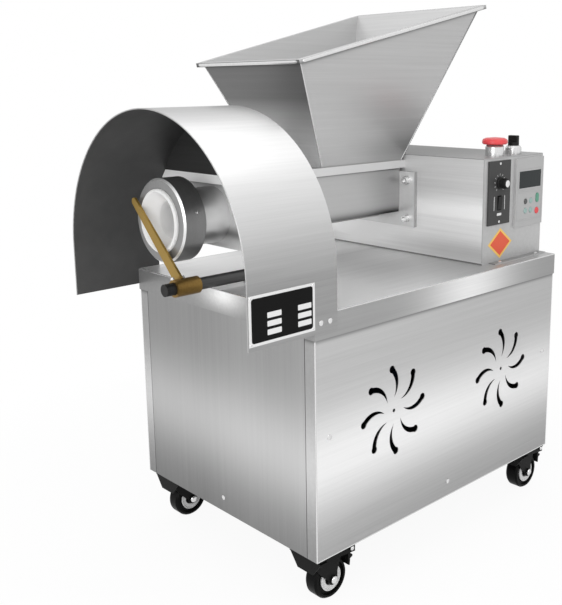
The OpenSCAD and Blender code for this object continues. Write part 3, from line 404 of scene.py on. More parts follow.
# Painted shade: a shadow under the strip, a shadow along the lower edge, darkening towards the flange.
strip_shadow = feed_metal.swell(ALONG_Z, STRIP_LOW - 1 * MM, 2 * MM) * (1.0 - on_strip)
low_edge_shadow = feed_metal.swell(ALONG_Z, WALL_LOW, 9 * MM)
rear_shade = feed_metal.swell(ALONG_Y, 140 * MM, 60 * MM) * (1.0 - on_strip)
shadow_lines = on_wall_sheet * (low_edge_shadow * 0.62 + strip_shadow * 0.4)
# The front faces are painted lighter.
feed_metal.fold(front=1.5, side=0.92 + on_strip * 0.36 - shadow_lines - rear_shade * 0.3)
print("feed box length in mm:", round(1000 * (feed_high.y - feed_low.y)))

# %% [markdown]
# The barrel is turned and polished, so it mirrors the dark deck as a band below its
# middle. A smoother metal would mirror it by itself, but the white room too, so the band
# is a painted reflection in the colour, and the barrel's top is painted darker as shade.
# The collar nut is duller, and its front is painted lighter, with a painted highlight on
# its chamfered front edge: there the surface faces half forward, so the product of that
# share and its rest picks out the edge.

# %% Barrel and collar
barrel_low, barrel_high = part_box("barrel")
barrel_z = (barrel_low.z + barrel_high.z) / 2
barrel_r = (barrel_high.z - barrel_low.z) / 2
barrel_metal = brushed_sheet(
    "barrel_metal", 0.72, {ALONG_Y}, roughness=0.36, contrast=0.02, bands=0.03, metal=0.5)
# Painted shade on the barrel's top and painted light on its sides.
barrel_metal.fold(side=1.15, top=0.5)
# A painted reflection of the dark deck, below the middle.
barrel_reflection = barrel_metal.swell(ALONG_Z, barrel_z - 0.58 * barrel_r, 0.15 * barrel_r)
barrel_metal.relevel(barrel_metal.level * (1.0 - barrel_reflection * 0.6))

collar_metal = brushed_sheet(
    "collar_metal", 0.24, {ALONG_Z}, roughness=0.34, contrast=0.02, bands=0.02, metal=0.7)
# Painted light on the collar's front, and a painted highlight on its chamfer.
collar_metal.fold(front=1.25)
collar_front = collar_metal.to_front()
collar_metal.relevel(collar_metal.level + collar_front * (1.0 - collar_front) * 2.4)
print("barrel box radius in mm:", round(1000 * barrel_r, 1))

# %% [markdown]
# Two pieces change along their length. The back plate of the guard is dull, and painted
# nearly black for the shade deep in the guard, and the lip turned out at its lower edge is
# painted near white for the light that reaches it. The cutter's shaft is black where its
# bare nose stands out of the hub, and behind the hub it is a dark grey, a little lighter.
# Two materials on one solid would need its faces picked by hand, so each finish makes a
# step at a place that is read from the solids.

# %% Guard back and cutter shaft
LIP_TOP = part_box("guard_back")[0].z + 13 * MM
back_sheet = brushed_sheet(
    "back_sheet", 0.030, {ALONG_X}, roughness=0.5, contrast=0.008, bands=0.005, metal=0.0)
# Painted shade makes the plate nearly black, and painted light makes the lip near white.
back_sheet.relevel(back_sheet.level + (back_sheet.spot(ALONG_Z) < LIP_TOP) * 0.94)

hub_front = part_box("cutter_hub")[0].y
dark_shaft = brushed_sheet("dark_shaft", 0.04, {ALONG_Y}, roughness=0.4, contrast=0.015, bands=0.01)
dark_shaft.relevel(dark_shaft.level + (dark_shaft.spot(ALONG_Y) > hub_front) * 0.04)
print("hub front in mm:", round(1000 * hub_front))

# %% [markdown]
# The hopper's corners guide its finish here and its trim later. A box would not do,
# because the rim slopes: so the corners are picked from the solid's own points, as those
# that lie furthest out in each of the four directions.

# %% Hopper corners
hopper_low, hopper_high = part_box("hopper")
HOPPER_RISE = hopper_high.z - hopper_low.z
LIP_THICK, LIP_WIDE = 7 * MM, 8 * MM
AROUND = ((-1, -1), (1, -1), (1, 1), (-1, 1))
hopper_points = [vertex.co.copy() for vertex in nodes["hopper"].data.vertices]
base_points = [point for point in hopper_points if point.z < hopper_low.z + 0.5 * MM]
lip_corners = [max(hopper_points, key=lambda p: sx * p.x + sy * p.y + p.z) for sx, sy in AROUND]
base_corners = [max(base_points, key=lambda p: sx * p.x + sy * p.y) for sx, sy in AROUND]
lip_rise = ((lip_corners[3] + lip_corners[2]) - (lip_corners[0] + lip_corners[1])).normalized()
lip_normal = Vector((1, 0, 0)).cross(lip_rise).normalized()
print("rim corners in mm:", [tuple(round(1000 * v) for v in corner) for corner in lip_corners])

# %% [markdown]
# The hopper leans out over the feed box, so its front sheet sees little light at the top
# and more below. Soft lamps alone show that too weakly, so that shade is painted: the
# height on the solid drives the change, only on the sheet that faces forward. The rear
# sheet's inner face, which faces forward too, is painted lighter. The right sheet gets
# painted shade at its rear foot. Right under the lip falls a thin shadow, painted as a
# dark line along the sloping plane of the rim.

# %% Hopper sheet
hopper_sheet = brushed_sheet(
    "hopper_sheet", 0.50, {ALONG_X, ALONG_Y}, roughness=0.36, bands=0.05, metal=0.6)
outside = (hopper_sheet.facing(ALONG_Z) * -6.0).held()
inside = (hopper_sheet.facing(ALONG_Z) * 6.0).held()
on_front = (hopper_sheet.to_front() * 1.6).held()
on_right = (hopper_sheet.facing(ALONG_X) * 1.6).held() * outside

rise = ((hopper_sheet.spot(ALONG_Z) - hopper_low.z) / (0.5 * HOPPER_RISE)).held()
# Painted shade on the front sheet, darker towards the top, and painted light on the rear sheet's inner
# face.
front_shade = on_front * (outside * (rise * 1.85 - 0.9).below(0.65) - inside * 0.3)
rear_foot = hopper_sheet.swell(ALONG_Y, 170 * MM, 100 * MM)
foot_height = hopper_sheet.swell(ALONG_Z, hopper_low.z + 22 * MM, 26 * MM)
right_shade = on_right * rear_foot * foot_height * 0.4

# A painted shadow line under the lip.
lip_under = lip_corners[0].dot(lip_normal) - LIP_THICK
drop = (lip_under - hopper_sheet.dot(hopper_sheet.spots(), lip_normal)) / (3.5 * MM)
lip_shadow = math.e ** (drop * drop * -1.0) * (1.0 - inside) * 0.6
hopper_sheet.relevel(hopper_sheet.level * (1.0 - front_shade) * (1.0 - right_shade) * (1.0 - lip_shadow))
print("hopper height in mm:", round(1000 * HOPPER_RISE))

# %% [markdown]
# The guard is polished outside and duller inside, where painted shade also darkens it, as
# the arch shades its inside. One sheet carries both sides, so the finish asks the solid which
# way its surface faces: if the normal points towards the arch's axis it is the inside.
# Outside, the rolled crown gets a painted highlight, brighter than the straight legs.

# %% Guard sheet
guard_low, guard_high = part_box("guard")
GUARD_REACH = (guard_high.x - guard_low.x) / 2
GUARD_AXIS_Z = guard_high.z - GUARD_REACH
GUARD_ROUGH = 0.34

guard_sheet = brushed_sheet("guard_sheet", 0.33, {ALONG_Y}, roughness=GUARD_ROUGH, bands=0.03)
axis_sockets = {0: guard_sheet.spots(), 1: (0, 0, GUARD_AXIS_Z)}
from_axis = guard_sheet.node("ShaderNodeVectorMath", {"operation": "SUBTRACT"}, axis_sockets)
# The inside: a duller finish, and painted shade under the arch.
dull_shaded_side = guard_sheet.dot(from_axis, guard_sheet.normals()) * -1.0 > 0.05
to_top = guard_sheet.facing(ALONG_Z).above(0.0)
# A painted highlight on the crown, by the way its faces look.
crown = to_top * 0.25 + to_top * abs(guard_sheet.facing(ALONG_X)) * 0.52
polished = guard_sheet.tone(guard_sheet.level + crown)
dull = guard_sheet.mix(guard_sheet.noise(40.0), grey(0.105), grey(0.135))
guard_sheet.set(Base_Color=guard_sheet.mix(dull_shaded_side, polished, dull))
guard_sheet.set(Roughness=GUARD_ROUGH + dull_shaded_side * 0.2)
print("guard axis height in mm:", round(1000 * GUARD_AXIS_Z))

# %% [markdown]
# The other finishes are simpler: brass with a brown bloom where hands have touched it,
# white nylon, rubber, moulded plastic and paint. Each gets a fine grain and a broad
# variation, because no real surface is one even colour. Black pieces get a low specular
# level, or the white room would turn them grey. Nylon lets some light in, so it gets
# subsurface scattering.

# %% Brass, nylon, rubber, plastic and paint


def solid_finish(name, dark, light, roughness, grain_scale, relief=0.0, **sockets):
    finish = Finish(name, **sockets)
    grain = finish.noise(grain_scale, 4.0)
    broad = finish.noise(14.0, 2.0)
    finish.set(Base_Color=finish.mix(grain * 0.5 + broad * 0.5, dark, light))
    finish.set(Roughness=roughness - 0.05 + grain * 0.1)
    if relief > 0:
        finish.bump(grain, relief, 0.3 * MM)
    finishes[name] = finish


DULL = {"Specular_IOR_Level": 0.2}
DEAD = {"Specular_IOR_Level": 0.06}
TRANSLUCENT = {"Subsurface_Weight": 0.9, "Subsurface_Radius": (1.0, 1.0, 1.0), "Subsurface_Scale": 30 * MM}
solid_finish("brass", (0.28, 0.18, 0.043, 1), (0.43, 0.28, 0.072, 1), 0.36, 420.0, 0.1, Metallic=0.8)
solid_finish("old_brass", (0.15, 0.075, 0.018, 1), (0.34, 0.22, 0.06, 1), 0.34, 260.0, 0.12, Metallic=0.8)
solid_finish("nylon", grey(0.92), grey(0.96), 0.45, 300.0, 0.04, **TRANSLUCENT)
solid_finish("rubber", grey(0.002), grey(0.006), 0.35, 700.0, 0.1, **DEAD)
solid_finish("black_plastic", grey(0.006), grey(0.014), 0.42, 900.0, 0.1, **DULL)
solid_finish("black_paint", grey(0.003), grey(0.015), 0.4, 600.0, 0.08, **DEAD)
solid_finish("speed_face", grey(0.042), grey(0.064), 0.45, 900.0, 0.08, **DULL)
solid_finish("grey_plastic", grey(0.38), grey(0.46), 0.45, 900.0, 0.08)
solid_finish("pale_plastic", grey(0.58), grey(0.70), 0.4, 900.0, 0.05)
solid_finish("dark_key", grey(0.05), grey(0.09), 0.4, 900.0, 0.05)
solid_finish("teal_key", (0.24, 0.36, 0.34, 1), (0.34, 0.46, 0.43, 1), 0.4, 900.0, 0.05)
solid_finish("red_plastic", (0.62, 0.045, 0.05, 1), (0.78, 0.075, 0.085, 1), 0.34, 500.0, 0.03)
solid_finish("green_plastic", (0.07, 0.24, 0.16, 1), (0.12, 0.34, 0.24, 1), 0.4, 500.0, 0.03)
solid_finish("window_plastic", (0.012, 0.015, 0.016, 1), (0.02, 0.026, 0.026, 1), 0.25, 200.0, **DULL)
solid_finish("frame_paint", grey(0.06), grey(0.10), 0.5, 300.0, 0.08)
solid_finish("drive_paint", (0.03, 0.06, 0.10, 1), (0.05, 0.09, 0.14, 1), 0.45, 300.0, 0.08)
solid_finish("cast_iron", grey(0.04), grey(0.08), 0.5, 500.0, 0.15, Metallic=0.6)
solid_finish("plate_black", grey(0.004), grey(0.01), 0.4, 600.0, 0.03, **DEAD)
solid_finish("plate_pale", grey(0.66), grey(0.78), 0.4, 600.0, 0.03)
solid_finish("plate_orange", (0.66, 0.075, 0.03, 1), (0.77, 0.11, 0.045, 1), 0.42, 500.0, 0.03)
solid_finish("plate_yellow", (0.80, 0.48, 0.09, 1), (0.90, 0.58, 0.14, 1), 0.42, 500.0, 0.03)
print("all finishes:", len(finishes))

# %% [markdown]
# Each solid takes its finish by name. A table reads better than sixty lines, and a
# solid that is missing from it would be noticed, because the count is printed.

# %% Finish of each solid
FINISH_OF = {
    "panel_sheet_side": ["left_panel", "right_panel"],
    "panel_sheet_end": ["front_panel", "rear_panel"],
    "deck_sheet": ["top_deck"],
    "guard_sheet": ["guard"],
    "back_sheet": ["guard_back"],
    "hopper_sheet": ["hopper"],
    "control_sheet": ["control_box"],
    "feed_metal": ["feed_box"],
    "barrel_metal": ["barrel"],
    "collar_metal": ["collar_nut"],
    "screw_metal": ["feed_screw"],
    "bright_metal": ["pan_screws", "feed_bolts", "button_bezels", "cutter_screws"],
    "shaft_metal": ["drive_shaft", "cutter_pinion", "cutter_gear"],
    "dark_shaft": ["cutter_shaft", "cutter_bearings"],
    "brass": ["cutter_blade"],
    "old_brass": ["cutter_hub"],
    "nylon": ["mouthpiece"],
    "frame_paint": ["frame", "base_plate"],
    "drive_paint": ["gearbox", "main_motor", "cutter_motor"],
    "cast_iron": ["gearbox_pulley", "motor_pulley"],
    "rubber": ["drive_belt"],
    "speed_face": ["speed_controller"],
    "black_plastic": ["speed_knob", "rocker", "selector_knob"],
    "grey_plastic": ["inverter"],
    "dark_key": ["menu_key"],
    "teal_key": ["shift_key", "up_key", "down_key"],
    "window_plastic": ["display_window"],
    "red_plastic": ["emergency_stop", "stop_key"],
    "green_plastic": ["run_key"],
    "plate_pale": ["rating_plate"],
    "black_paint": ["caster_plates"],
}
CORNERS = ("front_left", "front_right", "rear_left", "rear_right")
for corner in CORNERS:
    FINISH_OF["black_paint"] += [corner + "_fork", corner + "_brake"]
    FINISH_OF["rubber"].append(corner + "_wheel")


def dress(piece, finish):
    piece.data.materials.clear()
    piece.data.materials.append(finishes[finish].material)


dressed = 0
for finish, names in FINISH_OF.items():
    for name in names:
        dress(nodes[name], finish)
        dressed += 1
print("solids dressed:", dressed, "of", len(nodes))

# %% [markdown]
# Sheet metal has folded edges, and a fold catches the light as a thin bright line. So does
# the edge of a moulded cover. The solids have sharp edges, so a narrow bevel goes on the
# sheet pieces and on the two covers of the controls. It could be cut into the mesh, but a
# modifier leaves the solid's own points as they are.

# %% Folded edges
FOLD_WIDTH_MM = {
    "top_deck": 1.2, "right_panel": 0.7, "left_panel": 0.7, "control_box": 0.7,
    "feed_box": 0.8, "guard": 0.6, "inverter": 0.8, "speed_controller": 0.6, "hopper": 0.6,
}
for name, width in FOLD_WIDTH_MM.items():
    fold = nodes[name].modifiers.new("fold", "BEVEL")
    fold.width = width * MM
    fold.segments = 2
    fold.limit_method = "ANGLE"
    fold.angle_limit = math.radians(50)
print("pieces with folds:", len(FOLD_WIDTH_MM))

# %% [markdown]
# New trim is built as meshes from rings of points: a ring is placed, the next one follows
# it, and faces join the two. Blender's own primitives could be scaled into some of these
# shapes, but rings give the exact size at once. A finished mesh is set in place, smoothed
# except at sharp edges, dressed, and told which body carries it.

# %% Mesh helpers


def circle(steps):
    """The points of a circle of radius one."""
    turns = [2 * math.pi * step / steps for step in range(steps)]
    return [(math.cos(turn), math.sin(turn)) for turn in turns]


def join_rings(shape, rings):
    """Adds the faces between rings that follow each other."""
    for lower, upper in zip(rings, rings[1:]):
        for i in range(len(lower)):
            j = (i + 1) % len(lower)
            shape.faces.new((lower[i], lower[j], upper[j], upper[i]))


def keep(mesh_name, shape, place, finish, body):
    """Turns a finished mesh into a piece that rides on a body."""
    bmesh.ops.recalc_face_normals(shape, faces=shape.faces)
    mesh = bpy.data.meshes.new(mesh_name)
    shape.to_mesh(mesh)
    shape.free()
    mesh.transform(place)
    piece = bpy.data.objects.new(mesh_name, mesh)
    bpy.context.scene.collection.objects.link(piece)
    for face in mesh.polygons:
        face.use_smooth = True
    mesh.set_sharp_from_angle(angle=math.radians(35))
    dress(piece, finish)
    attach(piece, body)


print("mesh helpers ready")

# %% [markdown]
# Rims, seams, hems and folds are long thin rounds: a ring of points carried along a path.
# A curve with a round bevel would give the same, but a mesh exports as it is. A path that
# turns sharply would pinch the round, so its corners are eased first.

# %% Round bars


def add_bar(shape, path, radius, upright, closed=False, steps=12):
    """Adds a round bar along a path; upright is a direction that no stretch of it follows."""
    count = len(path)
    rings = []
    for i, point in enumerate(path):
        ahead = path[(i + 1) % count] if closed or i + 1 < count else point
        behind = path[i - 1] if closed or i > 0 else point
        along = (ahead - behind).normalized()
        side = along.cross(upright).normalized()
        rise = side.cross(along)
        rings.append([shape.verts.new(point + radius * (x * side + y * rise)) for x, y in circle(steps)])
    if closed:
        join_rings(shape, rings + rings[:1])
    else:
        join_rings(shape, rings)
        shape.faces.new(rings[0])
        shape.faces.new(rings[-1])


def eased(corners, reach, steps=6):
    """A closed path through corners, each eased over a reach."""
    path = []
    for i, corner in enumerate(corners):
        start = corner + reach * (corners[i - 1] - corner).normalized()
        stop = corner + reach * (corners[(i + 1) % len(corners)] - corner).normalized()
        for step in range(steps + 1):
            share = step / steps
            path.append((1 - share) ** 2 * start + 2 * share * (1 - share) * corner + share ** 2 * stop)
    return path


print("round bars ready")

# %% [markdown]
# The hopper's rim is rolled, so that nobody cuts a hand on it, and its four corners are
# welded and polished. The rim follows the lip's corners, set in a little. A seam runs up
# each corner, from the base to the point under the lip where two walls meet. The two rear
# seams take a darker metal, as painted shade.

# %% Hopper rim and seams
AS_BUILT = Matrix.Identity(4)
RIM_R, RIM_INSET, RIM_EASE = 4.1 * MM, 3 * MM, 9 * MM
SEAM_R = 1.1 * MM
LENGTHWISE = Vector((0, 1, 0))


def wall_corner(lip_corner):
    """The point under the lip where two walls meet, nearest to a corner of the lip."""
    under = lip_corner - lip_normal * LIP_THICK
    level_points = [point for point in hopper_points if abs((point - under).dot(lip_normal)) < 0.5 * MM]
    inner_points = [point for point in level_points if (point - under).length > LIP_WIDE]
    return min(inner_points, key=lambda point: (point - under).length)


rim_path = []
for (sx, sy), corner in zip(AROUND, lip_corners):
    inward = Vector((-sx, 0, 0)) - sy * lip_rise
    rim_path.append(corner - lip_normal * LIP_THICK / 2 + inward * RIM_INSET)
rim = bmesh.new()
add_bar(rim, eased(rim_path, RIM_EASE), RIM_R, lip_normal, closed=True)
keep("hopper_rim", rim, AS_BUILT, "bright_metal", "machine")

# The rear seams take a darker metal, as painted shade.
for end, finish, places in (("front", "bright_metal", (0, 1)), ("rear", "shaft_metal", (2, 3))):
    seams = bmesh.new()
    for place in places:
        seam = [base_corners[place], wall_corner(lip_corners[place])]
        add_bar(seams, seam, SEAM_R, LENGTHWISE, steps=8)
    keep("hopper_%s_seams" % end, seams, AS_BUILT, finish, "machine")
print("rim length in mm:", round(1000 * (lip_corners[2] - lip_corners[1]).length))

# %% [markdown]
# The guard's front edge is hemmed: the sheet is turned back on itself, which makes a
# thin bright line round the arch. The hem follows the arch's own radius and legs.

# %% Guard hem
HEM_R = 0.9 * MM
HEM_STEPS = 64
hem_reach = GUARD_REACH - 0.75 * MM
hem_y = guard_low.y + 0.6 * MM
hem_foot = guard_low.z + HEM_R
hem_path = [Vector((-hem_reach, hem_y, hem_foot))]
for step in range(HEM_STEPS + 1):
    angle = math.pi * (1 - step / HEM_STEPS)
    hem_x = hem_reach * math.cos(angle)
    hem_z = GUARD_AXIS_Z + hem_reach * math.sin(angle)
    hem_path.append(Vector((hem_x, hem_y, hem_z)))
hem_path.append(Vector((hem_reach, hem_y, hem_foot)))
hem = bmesh.new()
add_bar(hem, hem_path, HEM_R, LENGTHWISE, steps=8)
keep("guard_hem", hem, AS_BUILT, "hem_metal", "machine")
print("hem radius in mm:", round(1000 * hem_reach, 1))

# %% [markdown]
# A sheet is folded over a round nose, so the corner of the deck, of a panel or of the
# control box is a narrow round, and it catches the light as a fine bright line. The bevel
# above is too fine to show it from afar, so each line is a thin bar that is sunk in the
# corner, with a little of its round left outside. A corner of a box is named by a sign
# along each axis.

# %% Fold lines
FOLD_R, FOLD_SUNK = 1.1 * MM, 0.7 * MM
SLANT = Vector((0.3, 0.5, 0.8))
TOP_LOOP = ((-1, -1, 1), (1, -1, 1), (1, 1, 1), (-1, 1, 1))


def add_fold(shape, low, high, first, second):
    """Adds the fold between two corners of a box."""
    centre = (low + high) / 2
    half = (high - low) / 2
    ends = []
    for signs in (first, second):
        ends.append(Vector([centre[i] + signs[i] * (half[i] - FOLD_SUNK) for i in range(3)]))
    add_bar(shape, ends, FOLD_R, SLANT, steps=10)


def add_top_folds(shape, low, high):
    """Adds the four folds round the top of a box."""
    for i, corner in enumerate(TOP_LOOP):
        add_fold(shape, low, high, TOP_LOOP[i - 1], corner)


deck_folds = bmesh.new()
add_top_folds(deck_folds, deck_low, deck_high)
keep("deck_folds", deck_folds, AS_BUILT, "bright_metal", "machine")

panel_folds = bmesh.new()
for side, name in ((1, "right_panel"), (-1, "left_panel")):
    low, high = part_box(name)
    high.z = SKIRT_END
    for end in (-1, 1):
        add_fold(panel_folds, low, high, (side, end, -1), (side, end, 1))
    add_fold(panel_folds, low, high, (side, -1, -1), (side, 1, -1))
keep("panel_folds", panel_folds, AS_BUILT, "bright_metal", "machine")

FOOT_WIDE, FOOT_THICK = 14 * MM, 3 * MM
CONTROL_WALL_X = control_high.x - FOOT_WIDE
wall_low = Vector((-CONTROL_WALL_X, control_low.y, control_low.z + FOOT_THICK))
wall_high = Vector((CONTROL_WALL_X, control_high.y, control_high.z))
control_folds = bmesh.new()
add_top_folds(control_folds, wall_low, wall_high)
for end in (-1, 1):
    add_fold(control_folds, wall_low, wall_high, (1, end, -1), (1, end, 1))
keep("control_folds", control_folds, AS_BUILT, "hem_metal", "machine")
print("control wall in mm:", round(1000 * CONTROL_WALL_X))

# %% [markdown]
# Screws, rivets and axle ends show as low domed heads. A dome is a few rings that shrink
# towards a point. Four set screws lock the collar nut on the barrel, a quarter turn apart.
# Their bright heads stand in the nut's four holes, about level with its surface.

# %% Set screws in the collar
DOME_RINGS = 4
SET_SCREW_R, SET_SCREW_H, SET_SCREW_SUNK = 2.8 * MM, 1.6 * MM, 1.3 * MM
SET_SCREWS, SET_SCREW_TURN = 4, -15


def middle(node):
    """The middle of a solid's box."""
    low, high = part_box(node)
    return (low + high) / 2


def add_dome(shape, radius, height, shift=(0, 0), base=0.0, steps=20):
    """Adds a low domed head that closes at its top."""
    rings = []
    for level in range(DOME_RINGS):
        angle = math.radians(90 * level / DOME_RINGS)
        spread = radius * math.cos(angle)
        rise = base + height * math.sin(angle)
        points = [(shift[0] + spread * x, shift[1] + spread * y, rise) for x, y in circle(steps)]
        rings.append([shape.verts.new(point) for point in points])
    join_rings(shape, rings)
    top = shape.verts.new((shift[0], shift[1], base + height))
    for i in range(steps):
        shape.faces.new((rings[-1][i], rings[-1][(i + 1) % steps], top))
    shape.faces.new(rings[0][::-1])


def turn_about_y(shape, degrees):
    turn = Matrix.Rotation(math.radians(degrees), 3, "Y")
    bmesh.ops.rotate(shape, cent=(0, 0, 0), matrix=turn, verts=shape.verts[:])


collar_low, collar_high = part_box("collar_nut")
collar_mid = middle("collar_nut")
collar_r = (collar_high.z - collar_low.z) / 2
set_screws = bmesh.new()
for screw in range(SET_SCREWS):
    add_dome(set_screws, SET_SCREW_R, SET_SCREW_H, (0, 0), collar_r - SET_SCREW_SUNK, 16)
    turn_about_y(set_screws, 360 / SET_SCREWS)
turn_about_y(set_screws, SET_SCREW_TURN)
screw_place = Matrix.Translation((collar_mid.x, collar_mid.y + 4 * MM, collar_mid.z))
keep("collar_set_screws", set_screws, screw_place, "bright_metal", "machine")
print("collar radius in mm:", round(1000 * collar_r, 1))

# %% [markdown]
# Plates, lines and rims are slabs: an outline raised to a height, with a small chamfer on
# its upper edge, which catches the light as a moulded or printed edge does. Most outlines
# here are rectangles with round corners. A slab is built lying flat, because that is
# easiest to think out, and then set upright on the wall that carries it.

# %% Slabs
WALL_AXES = Matrix(((0, 0, 1), (1, 0, 0), (0, 1, 0)))


def on_wall(x, y, z):
    """A frame on a +X face: its first axis runs along +Y, its second up, its third out of the face."""
    return Matrix.Translation((x, y, z)) @ WALL_AXES.to_4x4()


def rounded(width, height, radius, steps=6):
    """A rectangle's outline with round corners, about its middle."""
    points = []
    for turn, (sx, sy) in enumerate(((1, 1), (-1, 1), (-1, -1), (1, -1))):
        centre = Vector((sx * (width / 2 - radius), sy * (height / 2 - radius)))
        for step in range(steps + 1):
            angle = math.radians(90 * (turn + step / steps))
            points.append(centre + radius * Vector((math.cos(angle), math.sin(angle))))
    return points


def add_slab(shape, outline, low, high, chamfer, shift=(0, 0)):
    """Adds a chamfered slab over an outline."""
    centre = sum(outline, Vector((0, 0))) / len(outline)
    reach = max((point - centre).length for point in outline)
    rings = []
    for inset, level in ((0, low), (0, high - chamfer), (chamfer, high)):
        ring = [centre + (point - centre) * (1 - inset / reach) for point in outline]
        rings.append([shape.verts.new((p.x + shift[0], p.y + shift[1], level)) for p in ring])
    join_rings(shape, rings)
    shape.faces.new(rings[0])
    shape.faces.new(rings[-1])


print("slabs ready")

# %% [markdown]
# The rating plate on the guard's leg is a printed metal tag: a pale rim, a black field
# and two columns of pale boxes for figures. The boxes stay empty. Masks in a material
# could print it, but thin slabs stay sharp from any distance, each a tenth of a millimetre
# or so above the last. A rivet holds each corner.

# %% Rating plate
INK_CHAMFER = 0.05 * MM
FIELD_INSET, FIELD_ROUND = 4 * MM, 4 * MM
BOX_WIDE, BOX_HIGH, BOX_ROUND = 24.5 * MM, 7.6 * MM, 1 * MM
BOX_COLUMNS, BOX_TOP, BOX_STEP, BOX_ROWS = (-0.13, 0.335), 0.06, 0.17, 3
RIVET_R, RIVET_H, RIVET_INSET = 1.6 * MM, 0.7 * MM, 3.2 * MM

plate_low, plate_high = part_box("rating_plate")
plate_mid = middle("rating_plate")
plate_l = plate_high.y - plate_low.y
plate_h = plate_high.z - plate_low.z
plate_place = on_wall(plate_high.x, plate_mid.y, plate_mid.z)

field = bmesh.new()
field_outline = rounded(plate_l - 2 * FIELD_INSET, plate_h - 2 * FIELD_INSET, FIELD_ROUND)
add_slab(field, field_outline, -0.1 * MM, 0.15 * MM, INK_CHAMFER)
keep("rating_field", field, plate_place, "plate_black", "machine")

boxes = bmesh.new()
box_outline = rounded(BOX_WIDE, BOX_HIGH, BOX_ROUND, 3)
for column in BOX_COLUMNS:
    for row in range(BOX_ROWS):
        spot = (column * plate_l, (BOX_TOP - BOX_STEP * row) * plate_h)
        add_slab(boxes, box_outline, 0.1 * MM, 0.25 * MM, INK_CHAMFER, spot)
keep("rating_boxes", boxes, plate_place, "plate_pale", "machine")

rivets = bmesh.new()
for side, rise in AROUND:
    spot = (side * (plate_l / 2 - RIVET_INSET), rise * (plate_h / 2 - RIVET_INSET))
    add_dome(rivets, RIVET_R, RIVET_H, spot, -0.05 * MM)
keep("rating_rivets", rivets, plate_place, "bright_metal", "machine")
print("rating plate in mm:", round(1000 * plate_l), "by", round(1000 * plate_h))

# %% [markdown]
# The speed controller has a scale round its knob, two lines beside the rocker and a
# small blank tag below it. The scale's marks run clockwise from the lower left. Each is a
# short row of dots, which need no turning to point outwards, as bars would.

# %% Speed controller face
SCALE_MARKS, SCALE_START, SCALE_STEP = 11, 230, 28
SCALE_RADII_MM = (14.0, 15.0, 16.0)
SCALE_DOT_R, SCALE_DOT_H = 0.55 * MM, 0.15 * MM
LINE_WIDE, LINE_LONG, LINE_AWAY = 1.2 * MM, 25 * MM, 15.5 * MM
TAG_WIDE, TAG_HIGH, TAG_DROP = 13 * MM, 4.5 * MM, 20 * MM

speed_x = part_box("speed_controller")[1].x
knob_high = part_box("speed_knob")[1]
knob_mid = middle("speed_knob")
rocker_mid = middle("rocker")

scale = bmesh.new()
for mark in range(SCALE_MARKS):
    angle = math.radians(SCALE_START - SCALE_STEP * mark)
    for radius in SCALE_RADII_MM:
        spot = (radius * MM * math.cos(angle), radius * MM * math.sin(angle))
        add_dome(scale, SCALE_DOT_R, SCALE_DOT_H, spot, -0.02 * MM, 8)
scale_place = on_wall(speed_x, knob_mid.y, knob_mid.z)
keep("speed_scale", scale, scale_place, "plate_pale", "machine")

lines = bmesh.new()
line_outline = rounded(LINE_WIDE, LINE_LONG, 0.5 * MM, 3)
for side in (-1, 1):
    add_slab(lines, line_outline, -0.05 * MM, 0.2 * MM, INK_CHAMFER, (side * LINE_AWAY, 0))
tag_outline = rounded(TAG_WIDE, TAG_HIGH, 0.8 * MM, 3)
add_slab(lines, tag_outline, -0.05 * MM, 0.25 * MM, INK_CHAMFER, (0, -TAG_DROP))
line_place = on_wall(speed_x, rocker_mid.y, rocker_mid.z)
keep("speed_lines", lines, line_place, "plate_pale", "machine")
print("scale marks:", SCALE_MARKS)

# %% [markdown]
# The knob is a push-on cap with fine ribs for grip and a pale end. A bump could shade the
# ribs, but the knob's outline would stay smooth, so they are slabs. Ribs and end ride on
# the knob, so they turn with it.

# %% Speed knob
CAP_R, CAP_H = 6.2 * MM, 0.9 * MM
RIBS, RIB_PLACE_R, RIB_WIDE = 28, 8.6 * MM, 0.9 * MM
knob_long = knob_high.x - speed_x
knob_place = on_wall(knob_high.x, knob_mid.y, knob_mid.z)

cap = bmesh.new()
add_dome(cap, CAP_R, CAP_H, (0, 0), -0.05 * MM, 32)
keep("knob_cap", cap, knob_place, "plate_pale", "speed_knob")

ribs = bmesh.new()
rib_outline = rounded(RIB_WIDE, RIB_WIDE, 0.4 * MM, 2)
for x, y in circle(RIBS):
    add_slab(ribs, rib_outline, 4 * MM - knob_long, -2 * MM, 0.3 * MM, (RIB_PLACE_R * x, RIB_PLACE_R * y))
keep("knob_ribs", ribs, knob_place, "black_plastic", "speed_knob")
print("speed knob length in mm:", round(1000 * knob_long))

# %% [markdown]
# The inverter's face has a raised rim round its window and a shallow rim round its keys.
# Both are outlines with a hole. Cutting it with a Boolean could leave poor faces, so each
# rim is built as four bars that meet at the corners.

# %% Inverter trim
RIM_SUNK = 0.1 * MM


def add_rim(shape, width, height, bar, high):
    """Adds a rectangular rim of four bars."""
    upright = rounded(bar, height, 0.3 * bar, 3)
    crossbar = rounded(width - 2 * bar, bar, 0.05 * bar, 2)
    for side in (-1, 1):
        add_slab(shape, upright, -RIM_SUNK, high, 0.2 * MM, (side * (width - bar) / 2, 0))
        add_slab(shape, crossbar, -RIM_SUNK, high, 0.2 * MM, (0, side * (height - bar) / 2))


face_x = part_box("inverter")[1].x
window_mid = middle("display_window")
window_rim = bmesh.new()
add_rim(window_rim, 75 * MM, 36 * MM, 2.6 * MM, 0.9 * MM)
window_place = on_wall(face_x, window_mid.y, window_mid.z)
keep("window_rim", window_rim, window_place, "grey_plastic", "machine")

